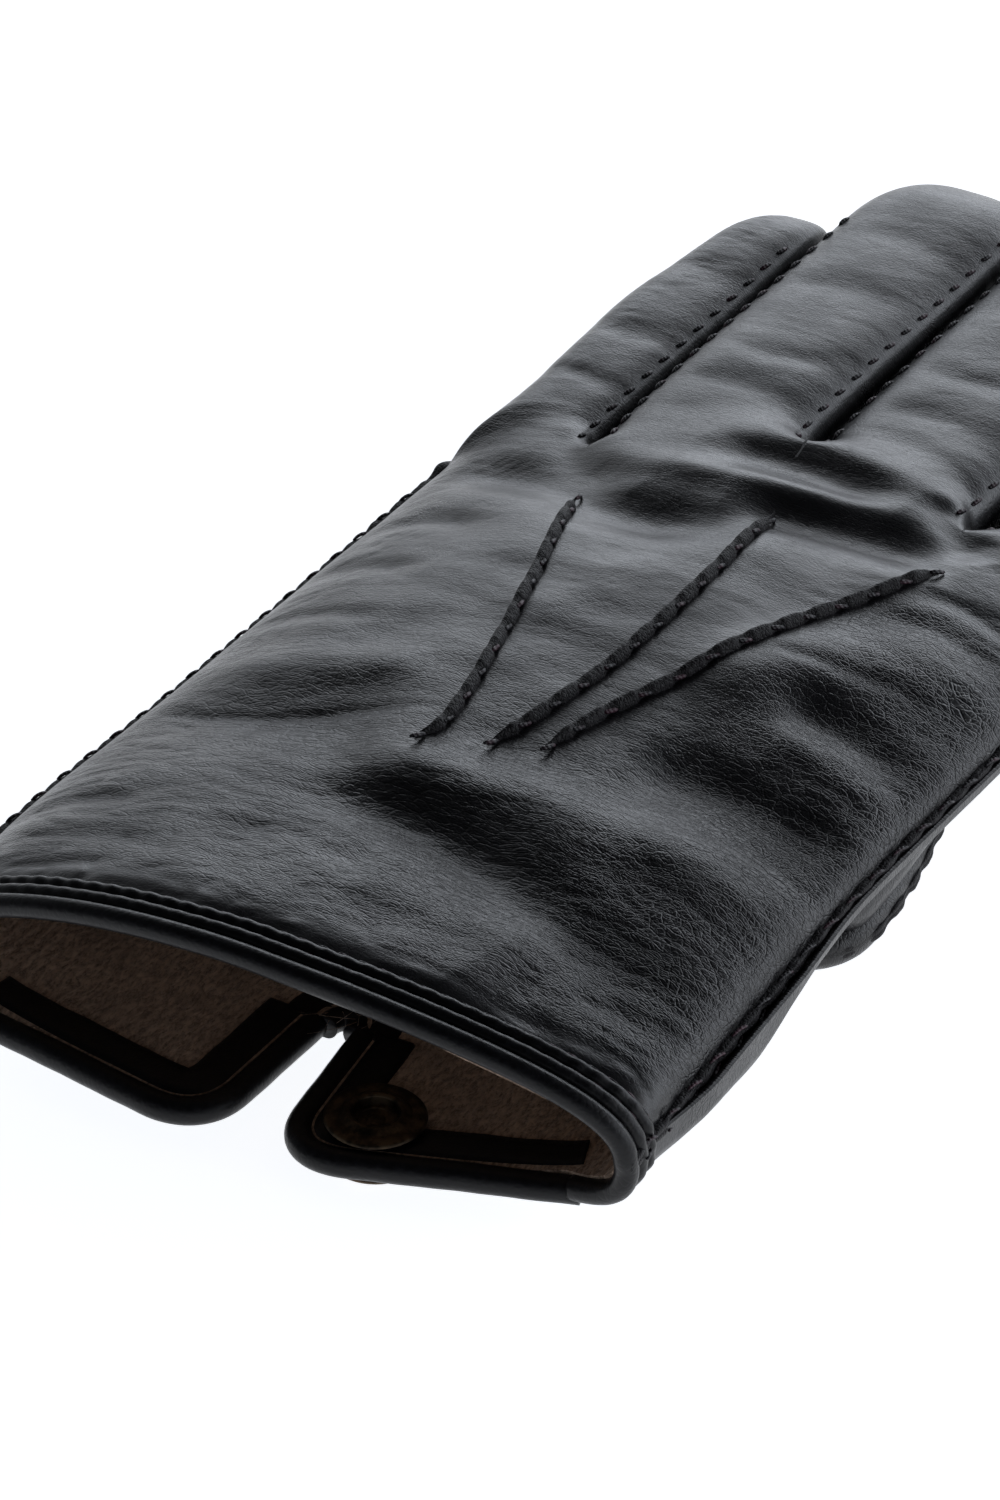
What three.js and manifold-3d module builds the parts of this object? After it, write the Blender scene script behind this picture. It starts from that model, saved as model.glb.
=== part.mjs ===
// A man's dress glove for the left hand, lying palm down with its thumb tucked under the palm.
// Millimetres. +X to the thumb side, +Y to the fingertips, +Z up from the table.
// While it is drawn, y = 0 is the back edge of the cuff. The last lines move the origin to the
// middle of the glove's footprint.
import * as THREE from "three";
import { mergeVertices } from "three/addons/utils/BufferGeometryUtils.js";
import Module from "manifold-3d";

const wasm = await Module();
wasm.setup();

// ---- Driving dimensions -------------------------------------------------------------------
const LEATHER = 1.0; // outer leather, with its turned edges
const LINING = 1.0; // ribbed knit lining
const GAP = 0.35; // air between pieces that touch on the real glove
const LINING_OUT = LEATHER + GAP; // how far inside the glove's outline the lining starts
const LINING_IN = LINING_OUT + LINING;

// The hand, from the cuff to the finger roots, at five stations along Y.
const STATIONS = [0, 25, 60, 95, 130];
const EDGE_LEFT = [-46, -49, -50, -49.5, -49.5];
const EDGE_RIGHT = [46, 45, 45, 46.5, 47];
const SEAM_LEFT = [11.5, 11, 9.5, 8.5, 8]; // height of the little finger's side seam
const SEAM_RIGHT = [12, 12.5, 14, 14, 12]; // height of the forefinger's side seam
const CROWN = [27, 25.5, 25, 23.5, 21];
const CUFF_LIFT = 2.4; // the cuff stands on the snap's cap and stud
const HEM = 7.5; // width of the rolled hem round the cuff
const HEM_THICK = 2.4;

// Fingers: sides, root (its hinge line), crotch, tip, height at the root and near the tip.
const FINGERS = {
  little: { x: [-49.6, -29.4], root: 119, crotch: 127.5, tip: 202, high: [15.5, 12.5], outer: -1 },
  ring: { x: [-28.4, -3.6], root: 126, crotch: 136, tip: 222, high: [19, 14], outer: 0 },
  middle: { x: [-2.6, 22.4], root: 130, crotch: 137, tip: 229, high: [19, 14], outer: 0 },
  index: { x: [23.4, 47], root: 122, crotch: 132, tip: 213, high: [17, 13.5], outer: 1 },
};
const THUMB = { root: 56, tip: 114, high: 8.6 };
const THUMB_STATIONS = [56, 75, 92, 105, 114];
const THUMB_MIDDLE = [30.5, 30, 27.5, 24, 21];
const THUMB_HALF = [14.5, 14.5, 14, 13.5, 13];
const THUMB_HOLE = { x: 33, y: 69, rx: 7.5, ry: 9 }; // the palm's opening into the thumb

// The vent in the palm side of the cuff. Each flap has a free corner, and folds along the line
// from the end of the hem to the vent's apex.
const FLAPS = {
  left: { hem: [-37, -0.6], corner: [-2.8, -4.8], apex: [-1.5, 23], fold: [-37, 7.1] },
  right: { hem: [37, 7.0], corner: [4.4, -5.2], apex: [1.5, 23], fold: [37, 14.5] },
};
const BINDING = 4.6; // width of the rolled edge round the vent
const BINDING_THICK = 3.6;
const FLAP_FLOOR = CUFF_LIFT;

// The three raised points on the back, from the wrist end to the finger end.
const POINTS = {
  little: [[-9.4, 50.5], [-22.7, 115]],
  middle: [[0.4, 52.5], [3.6, 122.6]],
  index: [[7.5, 52.5], [26.4, 121]],
};
const STITCH = 5.5; // pitch of the hand stitching
const SNAP = { x: 13.2, y: 6.4, r: 6.0 };
const STUD = { x: -13.5, y: 6.4, r: 4.6 };

// ---- Materials ----------------------------------------------------------------------------
const paint = (color, roughness, metalness = 0) =>
  new THREE.MeshStandardMaterial({ color, roughness, metalness });
const leather = paint(0x1b1b1f, 0.45);
const edging = paint(0x101013, 0.4);
const knit = paint(0x8b7d75, 0.95);
const brass = paint(0x4a3f30, 0.4, 1);

const glove = new THREE.Group();
glove.name = "leather_glove";

// ---- Small maths --------------------------------------------------------------------------
const clamp = THREE.MathUtils.clamp;
const mix = THREE.MathUtils.lerp;
const smooth = (x, a, b) => THREE.MathUtils.smoothstep(x, a, b);
const power = (x, n) => Math.sign(x) * Math.pow(Math.abs(x), n);

// A smooth value between stations.
function along(stations, values, y) {
  const last = stations.length - 1;
  let i = 0;
  while (i < last - 1 && y > stations[i + 1]) i++;
  const slope = (k) => {
    const a = Math.max(k - 1, 0), b = Math.min(k + 1, last);
    return (values[b] - values[a]) / (stations[b] - stations[a]);
  };
  const h = stations[i + 1] - stations[i];
  const t = (y - stations[i]) / h;
  if (t < 0) return values[0] + slope(0) * t * h;
  if (t > 1) return values[last] + slope(last) * (t - 1) * h;
  const t2 = t * t, t3 = t2 * t;
  return (2 * t3 - 3 * t2 + 1) * values[i] + (t3 - 2 * t2 + t) * h * slope(i) +
    (3 * t2 - 2 * t3) * values[i + 1] + (t3 - t2) * h * slope(i + 1);
}

// ---- The hand's outline -------------------------------------------------------------------
const left = (y) => along(STATIONS, EDGE_LEFT, y);
const right = (y) => along(STATIONS, EDGE_RIGHT, y);
const seamHeight = (x, y) => {
  const t = clamp((x - left(y)) / (right(y) - left(y)), 0, 1);
  return mix(along(STATIONS, SEAM_LEFT, y), along(STATIONS, SEAM_RIGHT, y), t);
};
const across = (x, y, inset) => {
  const l = left(y) + inset, r = right(y) - inset;
  return clamp((2 * x - l - r) / (r - l), -1, 1);
};

// Height of the back of the hand, and of the palm side, `inset` mm inside the outer skin.
function backHeight(x, y, inset = 0) {
  const s = across(x, y, inset);
  const base = seamHeight(x, y) + GAP / 2;
  const crown = along(STATIONS, CROWN, y) - inset;
  return base + (crown - base) * Math.sqrt(1 - Math.pow(Math.abs(s), 2.4));
}
function floorHeight(x, y) {
  const cuff = CUFF_LIFT * (1 - smooth(y, 22, 44));
  const overThumb = smooth(x, -12, 4) * smooth(y, 34, 50) * (1 - smooth(y, 111, 124));
  return cuff + (THUMB.high + 0.8 - cuff) * overThumb;
}
function palmHeight(x, y, inset = 0) {
  const s = across(x, y, inset);
  const base = seamHeight(x, y) - GAP / 2;
  const low = Math.min(floorHeight(x, y) + inset, base - 0.2);
  return base - (base - low) * Math.pow(1 - Math.pow(Math.abs(s), 6), 1 / 3);
}

// ---- Solid builders -----------------------------------------------------------------------
function addPiece(name, geometry, material) {
  const mesh = new THREE.Mesh(geometry, material);
  mesh.name = name;
  glove.add(mesh);
  return mesh;
}
function closed(points, faces) {
  let volume = 0;
  for (const [a, b, c] of faces) {
    const p = points[a], q = points[b], r = points[c];
    volume += p[0] * (q[1] * r[2] - q[2] * r[1]) + p[1] * (q[2] * r[0] - q[0] * r[2]) +
      p[2] * (q[0] * r[1] - q[1] * r[0]);
  }
  const out = volume < 0 ? faces.map(([a, b, c]) => [a, c, b]) : faces;
  return new THREE.BufferGeometry()
    .setAttribute("position", new THREE.Float32BufferAttribute(points.flat(), 3))
    .setIndex(out.flat());
}
// A panel with an outer face and an inner face, each a function of (u, v) from 0 to 1.
function panel(nu, nv, outer, inner) {
  const points = [], faces = [];
  for (const face of [outer, inner])
    for (let j = 0; j <= nv; j++)
      for (let i = 0; i <= nu; i++) points.push(face(i / nu, j / nv));
  const at = (k, i, j) => k * (nu + 1) * (nv + 1) + j * (nu + 1) + i;
  const quad = (a, b, c, d) => faces.push([a, b, c], [a, c, d]);
  for (let j = 0; j < nv; j++)
    for (let i = 0; i < nu; i++) {
      quad(at(0, i, j), at(0, i + 1, j), at(0, i + 1, j + 1), at(0, i, j + 1));
      quad(at(1, i, j), at(1, i, j + 1), at(1, i + 1, j + 1), at(1, i + 1, j));
    }
  for (let i = 0; i < nu; i++) {
    quad(at(0, i + 1, 0), at(0, i, 0), at(1, i, 0), at(1, i + 1, 0));
    quad(at(0, i, nv), at(0, i + 1, nv), at(1, i + 1, nv), at(1, i, nv));
  }
  for (let j = 0; j < nv; j++) {
    quad(at(0, 0, j), at(0, 0, j + 1), at(1, 0, j + 1), at(1, 0, j));
    quad(at(0, nu, j + 1), at(0, nu, j), at(1, nu, j), at(1, nu, j + 1));
  }
  return closed(points, faces);
}
// A closed-ended sleeve: rings run from the open root to the tip, and each face ends in a pole.
function sleeve(nu, nv, outer, inner) {
  const points = [], faces = [], start = [];
  for (const face of [outer, inner]) {
    start.push(points.length);
    for (let j = 0; j < nv; j++)
      for (let i = 0; i < nu; i++) points.push(face(i / nu, j / nv));
    points.push(face(0, 1));
  }
  const at = (k, i, j) => (j < nv ? start[k] + j * nu + (i % nu) : start[k] + nu * nv);
  for (let j = 0; j < nv; j++)
    for (let i = 0; i < nu; i++) {
      const [a, b, c, d] = [at(0, i, j), at(0, i + 1, j), at(0, i + 1, j + 1), at(0, i, j + 1)];
      const [e, f, g, h] = [at(1, i, j), at(1, i + 1, j), at(1, i + 1, j + 1), at(1, i, j + 1)];
      faces.push([a, b, c], [g, f, e]);
      if (j < nv - 1) faces.push([a, c, d], [h, g, e]);
    }
  for (let i = 0; i < nu; i++) {
    const [a, b, c, d] = [at(0, i + 1, 0), at(0, i, 0), at(1, i, 0), at(1, i + 1, 0)];
    faces.push([a, b, c], [a, c, d]);
  }
  return closed(points, faces);
}
// A cord-like solid: a closed section carried along a list of frames {p, a, b}.
function sweep(frames, section) {
  const points = [], faces = [], n = section(0).length;
  frames.forEach(({ p, a, b }, k) => {
    for (const [s, t] of section(k / (frames.length - 1)))
      points.push([0, 1, 2].map((m) => p[m] + a[m] * s + b[m] * t));
  });
  const last = (frames.length - 1) * n;
  for (let k = 0; k < frames.length - 1; k++)
    for (let i = 0; i < n; i++) {
      const q = [k * n + i, k * n + (i + 1) % n, (k + 1) * n + (i + 1) % n, (k + 1) * n + i];
      faces.push([q[0], q[1], q[2]], [q[0], q[2], q[3]]);
    }
  for (let i = 1; i < n - 1; i++) {
    faces.push([0, i + 1, i], [last, last + i, last + i + 1]);
  }
  return closed(points, faces);
}
const toSolid = (g) => new wasm.Manifold(new wasm.Mesh({
  numProp: 3,
  vertProperties: new Float32Array(g.getAttribute("position").array),
  triVerts: new Uint32Array(g.index.array),
}));
function toGeometry(solid) {
  const m = solid.getMesh();
  return new THREE.BufferGeometry()
    .setAttribute("position", new THREE.Float32BufferAttribute(m.vertProperties, 3))
    .setIndex(new THREE.BufferAttribute(m.triVerts, 1));
}

// ---- Edges of the hand panels -------------------------------------------------------------
const ringOf = (x) => Object.values(FINGERS).find((f) => x <= f.x[1] + 0.5) ?? FINGERS.index;
const handEnd = (x) => ringOf(x).root - GAP;
// The cuff's edge: over the back, and on the palm side as far as the flaps.
const hemBack = (x) => 0.4 + (x > 0 ? 5.6 : 0.6) * Math.pow(Math.abs(x) / 46, 3);
const hemPalm = (x) => (x > 0 ? mix(7, 6, (x - 37) / 9) : mix(-0.4, 1, (-x - 37) / 9));
// The palm starts at the hem beside each flap, and at the flaps' fold lines between them.
function palmStart(x) {
  if (Math.abs(x) > 37) return hemPalm(x) + HEM + GAP;
  const f = x < 0 ? FLAPS.left : FLAPS.right;
  const t = Math.min((x - f.fold[0]) / (f.apex[0] - f.fold[0]), 1);
  return mix(f.fold[1], f.apex[1], t) + GAP;
}
// Columns across the hand, from 0 at the left edge to 1: closer together towards both edges, with
// a pair that straddles each gap between two fingers.
function columns(count) {
  const toX = (t) => mix(-49.5, 47, t);
  const list = [];
  for (let i = 0; i <= count; i++) list.push((1 - Math.cos((Math.PI * i) / count)) / 2);
  for (const gap of [-28.9, -3.1, 22.9]) {
    const near = list.findIndex((t) => toX(t) > gap);
    const nearest = gap - toX(list[near - 1]) < toX(list[near]) - gap ? near - 1 : near;
    const pair = [gap - 0.35, gap + 0.35].map((x) => (x + 49.5) / 96.5);
    list.splice(nearest, 1, ...pair);
  }
  return list;
}
// One layer of the hand, from start(x) to end(x), between two depths under the outer skin.
function handPanel(height, start, end, depths, count, rows) {
  const list = columns(count);
  const face = (inset) => (u, v) => {
    const t = list[Math.round(u * (list.length - 1))];
    let x = mix(-49.5, 47, t), y = 0;
    const last = end(x), nearEdge = inset * power(2 * t - 1, 5);
    for (let k = 0; k < 6; k++) {
      y = mix(start(x), last, v);
      x = mix(left(y), right(y), t) - nearEdge;
    }
    return [x, y, height(x, y, inset)];
  };
  return panel(list.length - 1, rows, face(depths[0]), face(depths[1]));
}

// ---- Leather and lining of the hand -------------------------------------------------------
const backStart = (x) => hemBack(x) + HEM + GAP;
const skin = [0, LEATHER];
const inner = [LINING_OUT, LINING_IN];
addPiece("back_leather", handPanel(backHeight, backStart, handEnd, skin, 20, 9), leather);
addPiece("back_lining", handPanel(backHeight, backStart, handEnd, inner, 20, 7), knit);
const thumbHole = (grow) => new THREE.CylinderGeometry(1, 1, 40, 20)
  .rotateX(Math.PI / 2)
  .scale(THUMB_HOLE.rx + grow, THUMB_HOLE.ry + grow, 1)
  .translate(THUMB_HOLE.x, THUMB_HOLE.y, 0);
const prism = (g) => {
  const flat = g.clone();
  flat.deleteAttribute("normal");
  flat.deleteAttribute("uv");
  return toSolid(mergeVertices(flat, 1e-4));
};
const cut = (g, tool) => toGeometry(prism(g).subtract(prism(tool)));
addPiece("palm_leather",
  cut(handPanel(palmHeight, palmStart, handEnd, skin, 20, 12), thumbHole(0)), leather);
addPiece("palm_lining",
  cut(handPanel(palmHeight, palmStart, handEnd, inner, 20, 12), thumbHole(0.8)), knit);

// ---- Fingers and thumb --------------------------------------------------------------------
// A digit's section at v (0 root, 1 tip) and angle phi: 0 is its +X side and 90 degrees its top.
function digit(name) {
  const thumb = name === "thumb";
  const f = thumb ? THUMB : FINGERS[name];
  const middle = (y) => (thumb ? along(THUMB_STATIONS, THUMB_MIDDLE, y) : (f.x[0] + f.x[1]) / 2);
  const half = (y) => (thumb ? along(THUMB_STATIONS, THUMB_HALF, y) : (f.x[1] - f.x[0]) / 2);
  return (phi, v, inset, drop = 0) => {
    const tip = f.tip - inset, length = tip - f.root;
    const reach = 1 - Math.pow(1 - v, 1.5);
    const y = f.root + length * reach;
    const toTip = clamp((tip - y) / (thumb ? 16 : 19), 0, 1);
    const round = Math.pow(1 - Math.pow(1 - toTip, 2.4), 1 / 2.4);
    const high = thumb ? f.high : mix(f.high[0], f.high[1], smooth(y, f.root, f.tip));
    const x = middle(y) + (half(y) - inset) * round * power(Math.cos(phi), 2 / 2.8);
    const tall = Math.max(high / 2 - inset - drop, 0.3) * round;
    let z = high / 2 + tall * power(Math.sin(phi), 2 / 2.8);
    if (!thumb && drop === 0 && Math.sin(phi) >= 0) {
      const own = smooth(y, f.root, f.crotch);
      z = mix(Math.max(backHeight(x, f.root, inset), z), z, own);
    }
    return [x, y, z];
  };
}
const SIDE = 0.42; // half the angle of the strip sewn between two fingers
const START = { little: 0.13, ring: 0.14, middle: 0.1, index: 0.14 };
function addFinger(name) {
  const f = FINGERS[name], skinAt = digit(name);
  const lowX = f.outer < 0 ? Math.PI - 0.02 : Math.PI - SIDE;
  const highX = f.outer > 0 ? 0.02 : SIDE;
  const strip = (from, to, v0, v1, depths, nu, nv) => panel(nu, nv,
    (u, v) => skinAt(mix(from, to, u), mix(v0, v1, v), depths[0]),
    (u, v) => skinAt(mix(from, to, u), mix(v0, v1, v), depths[1]));
  const tipEnd = 0.985;
  addPiece(name + "_back_leather", strip(highX, lowX, 0, tipEnd, skin, 8, 9), leather);
  addPiece(name + "_palm_leather", strip(-lowX, -highX, 0, tipEnd, skin, 8, 9), leather);
  const gap = 0.045;
  if (f.outer >= 0)
    addPiece(name + "_fourchette_outer",
      strip(Math.PI - SIDE + gap, Math.PI + SIDE - gap, START[name], 0.9, skin, 2, 7), leather);
  if (f.outer <= 0)
    addPiece(name + "_fourchette_inner",
      strip(-SIDE + gap, SIDE - gap, START[name], 0.9, skin, 2, 7), leather);
  addPiece(name + "_lining", sleeve(12, 7,
    (u, v) => skinAt(u * 2 * Math.PI, v, LINING_OUT, 0.25),
    (u, v) => skinAt(u * 2 * Math.PI, v, LINING_IN, 0.25)), knit);
}
Object.keys(FINGERS).forEach(addFinger);

const thumbAt = digit("thumb");
const thumbSleeve = (depths, drop, nu, nv) => sleeve(nu, nv,
  (u, v) => thumbAt(u * 2 * Math.PI, v, depths[0], drop),
  (u, v) => thumbAt(u * 2 * Math.PI, v, depths[1], drop));
// The hole that joins the thumb to the hand cuts only the upper skin of the thumb.
const upperHole = (grow) => thumbHole(grow).translate(0, 0, 20 + THUMB.high / 2);
addPiece("thumb_leather", cut(thumbSleeve(skin, 0, 14, 8), upperHole(0)), leather);
addPiece("thumb_lining", cut(thumbSleeve(inner, 0, 14, 6), upperHole(0.8)), knit);

// ---- Cuff hem, side seams and points ------------------------------------------------------
// The cuff's outline seen from the wrist end, from one flap round over the back to the other.
function cuffPath(count, inset) {
  const path = [];
  const l = FLAPS.left.hem[0] - 0.6, r = FLAPS.right.hem[0] + 0.6;
  const under = 5;
  for (let i = 0; i < under; i++) {
    const x = mix(l, left(3) + inset, Math.sin((Math.PI / 2) * (i / under)));
    path.push([x, palmHeight(x, 3, inset), hemPalm(x)]);
  }
  for (let i = 0; i <= count; i++) {
    const s = -Math.cos((Math.PI * i) / count);
    const x = mix(left(3) + inset, right(3) - inset, (s + 1) / 2);
    path.push([x, backHeight(x, 3, inset), hemBack(x)]);
  }
  for (let i = under - 1; i >= 0; i--) {
    const x = mix(r, right(3) - inset, Math.sin((Math.PI / 2) * (i / under)));
    path.push([x, palmHeight(x, 3, inset), hemPalm(x)]);
  }
  return path;
}
{
  const skinPath = cuffPath(20, HEM_THICK / 2 - 0.4);
  const centre = new THREE.Vector2(0, 14);
  const frames = skinPath.map(([x, z, y], k) => {
    const [x0, z0] = skinPath[Math.max(k - 1, 0)];
    const [x1, z1] = skinPath[Math.min(k + 1, skinPath.length - 1)];
    const along2 = new THREE.Vector2(x1 - x0, z1 - z0).normalize();
    let normal = new THREE.Vector2(-along2.y, along2.x);
    if (normal.dot(new THREE.Vector2(x, z).sub(centre)) < 0) normal = normal.negate();
    return { p: [x, y + HEM / 2, z], a: [0, 1, 0], b: [normal.x, 0, normal.y] };
  });
  const h = HEM / 2, t = HEM_THICK / 2;
  // Three rolls side by side with a stitched groove between each two.
  const rolls = [[-h, -0.3], [-h + 0.5, t * 0.9], [-h / 3 - 0.35, t], [-h / 3, t * 0.55],
    [-h / 3 + 0.35, t], [h / 3 - 0.35, t * 0.9], [h / 3, t * 0.5], [h / 3 + 0.4, t * 0.8],
    [h, 0.4], [h, -t * 0.8], [-h + 0.7, -t]];
  addPiece("cuff_hem", sweep(frames, () => rolls), edging);
}

// A raw-edged seam that stands out of the side of the hand, waved by its stitches.
function sideSeam(name, side) {
  const edge = side < 0 ? left : right;
  const heights = side < 0 ? SEAM_LEFT : SEAM_RIGHT;
  const count = 36, y0 = HEM + 8, y1 = side < 0 ? FINGERS.little.root - 1 : FINGERS.index.root - 1;
  const frames = [];
  for (let k = 0; k <= count; k++) {
    const y = mix(y0, y1, k / count);
    frames.push({ p: [edge(y), y, along(STATIONS, heights, y)], a: [side, 0, 0], b: [0, 0, 1] });
  }
  addPiece(name, sweep(frames, (k) => {
    const wave = k === 0 || k === 1 ? 0 : Math.sin(Math.PI * 2 * k * (y1 - y0) / STITCH);
    const out = 2.2 + 0.35 * wave;
    return [[0.3, -0.75], [out, -0.7], [out + 0.15, 0], [out, 0.7], [0.3, 0.75]];
  }), edging);
}
sideSeam("little_finger_side_seam", -1);
sideSeam("forefinger_side_seam", 1);

// A pinched tuck of leather with a rope-like row of stitches, lying on the back of the hand.
function point(name, [from, to]) {
  const count = 30, frames = [];
  const dx = to[0] - from[0], dy = to[1] - from[1], length = Math.hypot(dx, dy);
  for (let k = 0; k <= count; k++) {
    const t = k / count, x = mix(from[0], to[0], t), y = mix(from[1], to[1], t);
    const d = 0.5;
    const slopeX = (backHeight(x + d, y) - backHeight(x - d, y)) / (2 * d);
    const slopeY = (backHeight(x, y + d) - backHeight(x, y - d)) / (2 * d);
    const n = new THREE.Vector3(-slopeX, -slopeY, 1).normalize();
    const sideways = new THREE.Vector3(-dy / length, dx / length, 0)
      .projectOnPlane(n).normalize();
    frames.push({ p: [x, y, backHeight(x, y)], a: sideways.toArray(), b: n.toArray() });
  }
  addPiece(name, sweep(frames, (k) => {
    const fade = smooth(Math.min(k, 1 - k), 0, 0.06);
    const wave = Math.sin((Math.PI * 2 * k * length) / STITCH) * 0.45 * fade;
    const high = mix(0.9, 1.9, fade);
    return [[-1.1 + wave * 0.3, GAP], [1.1 + wave * 0.3, GAP], [1.0 + wave, high * 0.6],
      [0.4 + wave, high], [-0.5 + wave, high], [-1.0 + wave, high * 0.6]];
  }), edging);
}
point("little_finger_point", POINTS.little);
point("middle_finger_point", POINTS.middle);
point("forefinger_point", POINTS.index);

// ---- Vent flaps ---------------------------------------------------------------------------
// The corners of a flap, moved in from its edges: [free corner, apex, fold end, hem end].
function flapShape(side, edgeInset, foldInset, hemInset) {
  const f = FLAPS[side];
  const [C, A, F, H] = [f.corner, f.apex, f.fold, f.hem].map((p) => new THREE.Vector2(...p));
  const inside = new THREE.Vector2().add(C).add(A).add(F).add(H).divideScalar(4);
  const moved = (a, b, by) => {
    const d = b.clone().sub(a).normalize(), n = new THREE.Vector2(-d.y, d.x);
    if (n.dot(inside.clone().sub(a)) < 0) n.negate();
    return [a.clone().addScaledVector(n, by), b.clone().addScaledVector(n, by)];
  };
  const hem = moved(H, C, edgeInset), slit = moved(C, A, edgeInset);
  const fold = moved(A, F, foldInset), end = moved(F, H, hemInset);
  const meet = ([a, b], [c, d]) => {
    const r = b.clone().sub(a), t = d.clone().sub(c);
    return a.clone().addScaledVector(r, c.clone().sub(a).cross(t) / r.cross(t));
  };
  return [meet(hem, slit), meet(slit, fold), meet(fold, end), meet(end, hem)];
}
function plate([c, a, f, h], radius, low, high, hole) {
  const shape = new THREE.Shape();
  const toA = a.clone().sub(c).normalize(), toH = h.clone().sub(c).normalize();
  const p = c.clone().addScaledVector(toH, radius), q = c.clone().addScaledVector(toA, radius);
  shape.moveTo(a.x, a.y);
  shape.lineTo(f.x, f.y);
  shape.lineTo(h.x, h.y);
  shape.lineTo(p.x, p.y);
  shape.quadraticCurveTo(c.x, c.y, q.x, q.y);
  shape.closePath();
  if (hole) {
    const path = new THREE.Path();
    path.absarc(hole.x, hole.y, hole.r, 0, Math.PI * 2, toA.cross(toH) > 0);
    shape.holes.push(path);
  }
  return new THREE.ExtrudeGeometry(shape, {
    depth: high - low, bevelEnabled: false, curveSegments: 8,
  }).translate(0, 0, low);
}
// The rolled edge: a soft, flattened roll from the outer end, round the free corner, to the apex.
function flapBinding(side, radius) {
  const [c, a, , h] = flapShape(side, BINDING / 2, 0.5, GAP);
  const toA = a.clone().sub(c).normalize(), toH = h.clone().sub(c).normalize();
  const path = [];
  const p = c.clone().addScaledVector(toH, radius), q = c.clone().addScaledVector(toA, radius);
  // At the apex the roll stops where its whole width is still on the flap's side of the fold.
  const endA = a.clone().addScaledVector(toA, side === "left" ? -3.2 : -2.6);
  for (let i = 0; i <= 5; i++) path.push(h.clone().lerp(p, i / 5));
  for (let i = 1; i < 6; i++) {
    const t = i / 6;
    path.push(new THREE.Vector2(
      mix(mix(p.x, c.x, t), mix(c.x, q.x, t), t), mix(mix(p.y, c.y, t), mix(c.y, q.y, t), t)));
  }
  for (let i = 0; i <= 4; i++) path.push(q.clone().lerp(endA, i / 4));
  const frames = path.map((here, k) => {
    const d = path[Math.min(k + 1, path.length - 1)].clone().sub(path[Math.max(k - 1, 0)])
      .normalize();
    return { p: [here.x, here.y, FLAP_FLOOR + 1.2], a: [-d.y, d.x, 0], b: [0, 0, 1] };
  });
  return sweep(frames, () => {
    const list = [];
    for (let i = 0; i < 10; i++) {
      const w = (i / 10) * Math.PI * 2;
      list.push([(BINDING / 2 - 0.15) * power(Math.cos(w), 0.75),
        (BINDING_THICK / 2) * power(Math.sin(w), 0.8)]);
    }
    return list;
  });
}
function addFlap(side, hole) {
  const corners = flapShape(side, BINDING + GAP, 0.5, GAP);
  addPiece(side + "_flap_leather",
    plate(corners, 2.5, FLAP_FLOOR, FLAP_FLOOR + LEATHER, hole), leather);
  addPiece(side + "_flap_lining",
    plate(corners, 2.5, FLAP_FLOOR + LEATHER + GAP, FLAP_FLOOR + LINING_IN, side === "right" && hole),
    knit);
  addPiece(side + "_flap_binding", flapBinding(side, 4.5), edging);
}
const POST = 1.6; // radius of the barrels that pass through the leather
addFlap("left", { x: STUD.x, y: STUD.y, r: POST + GAP });
addFlap("right", { x: SNAP.x, y: SNAP.y, r: POST + GAP });

// ---- Snap fastener ------------------------------------------------------------------------
function turned(name, at, profile, material) {
  const g = new THREE.LatheGeometry(profile.map(([r, z]) => new THREE.Vector2(r, z)), 24);
  g.rotateX(Math.PI / 2);
  addPiece(name, g.translate(at.x, at.y, 0), material);
}
const skinLow = FLAP_FLOOR, skinHigh = FLAP_FLOOR + LEATHER, knitHigh = FLAP_FLOOR + LINING_IN;
// Cap on the outside of the right flap, with the barrel that is riveted into the socket.
turned("snap_cap", SNAP, [[0, 0], [3.2, 0], [5.3, 0.4], [SNAP.r, 1.0], [SNAP.r - 0.3, 1.4],
  [3.6, 1.45], [3.2, skinLow - GAP], [POST, skinLow - GAP], [POST, skinHigh + 0.9],
  [0, skinHigh + 0.9]], brass);
// Socket on the lining side of the right flap: a ring flange round an open cup. The flange rides
// over the edge of the binding.
turned("snap_socket", SNAP, [[0, skinHigh + 1.25], [POST, skinHigh + 1.25],
  [POST + 0.4, knitHigh + 0.95], [SNAP.r - 0.3, knitHigh + 0.95], [SNAP.r, knitHigh + 1.2],
  [SNAP.r - 0.5, knitHigh + 1.6], [4.2, knitHigh + 1.7], [3.3, knitHigh + 2.2],
  [2.7, knitHigh + 2.0], [2.5, knitHigh + 0.7], [0, knitHigh + 0.5]], brass);
// Stud on the outside of the left flap. Its barrel ends under the lining.
turned("snap_stud", STUD, [[0, 0], [1.5, 0], [2.2, 0.5], [2.1, 0.9], [1.7, 1.2], [2.1, 1.4],
  [STUD.r - 0.3, 1.5], [STUD.r, 1.7], [STUD.r - 0.2, skinLow - GAP], [POST - 0.1, skinLow - GAP],
  [POST - 0.1, skinHigh], [0, skinHigh]], brass);

// ---- Origin: the middle of the footprint --------------------------------------------------
const box = new THREE.Box3().setFromObject(glove);
glove.position.set(-(box.min.x + box.max.x) / 2, -(box.min.y + box.max.y) / 2, -box.min.z);
export default glove;
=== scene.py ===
# %% [markdown]
# # A black leather dress glove, palm down on a white table
# The glove is a left hand lying on its palm with the thumb tucked under. On the real thing it is
# thin black sheepskin, sewn by hand with its edges outward, lined with a ribbed knit, with a
# rolled hem, three raised points on the back, and a vent with a snap in the palm side of the cuff.
# The solid model gives the sizes and the moving bodies. Here each panel gets its real surface.
# Everything is worked out in millimetres, with y = 0 at the back edge of the cuff, because that
# is how a glove cutter thinks, and is moved to the model's own place at the very end.

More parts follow.
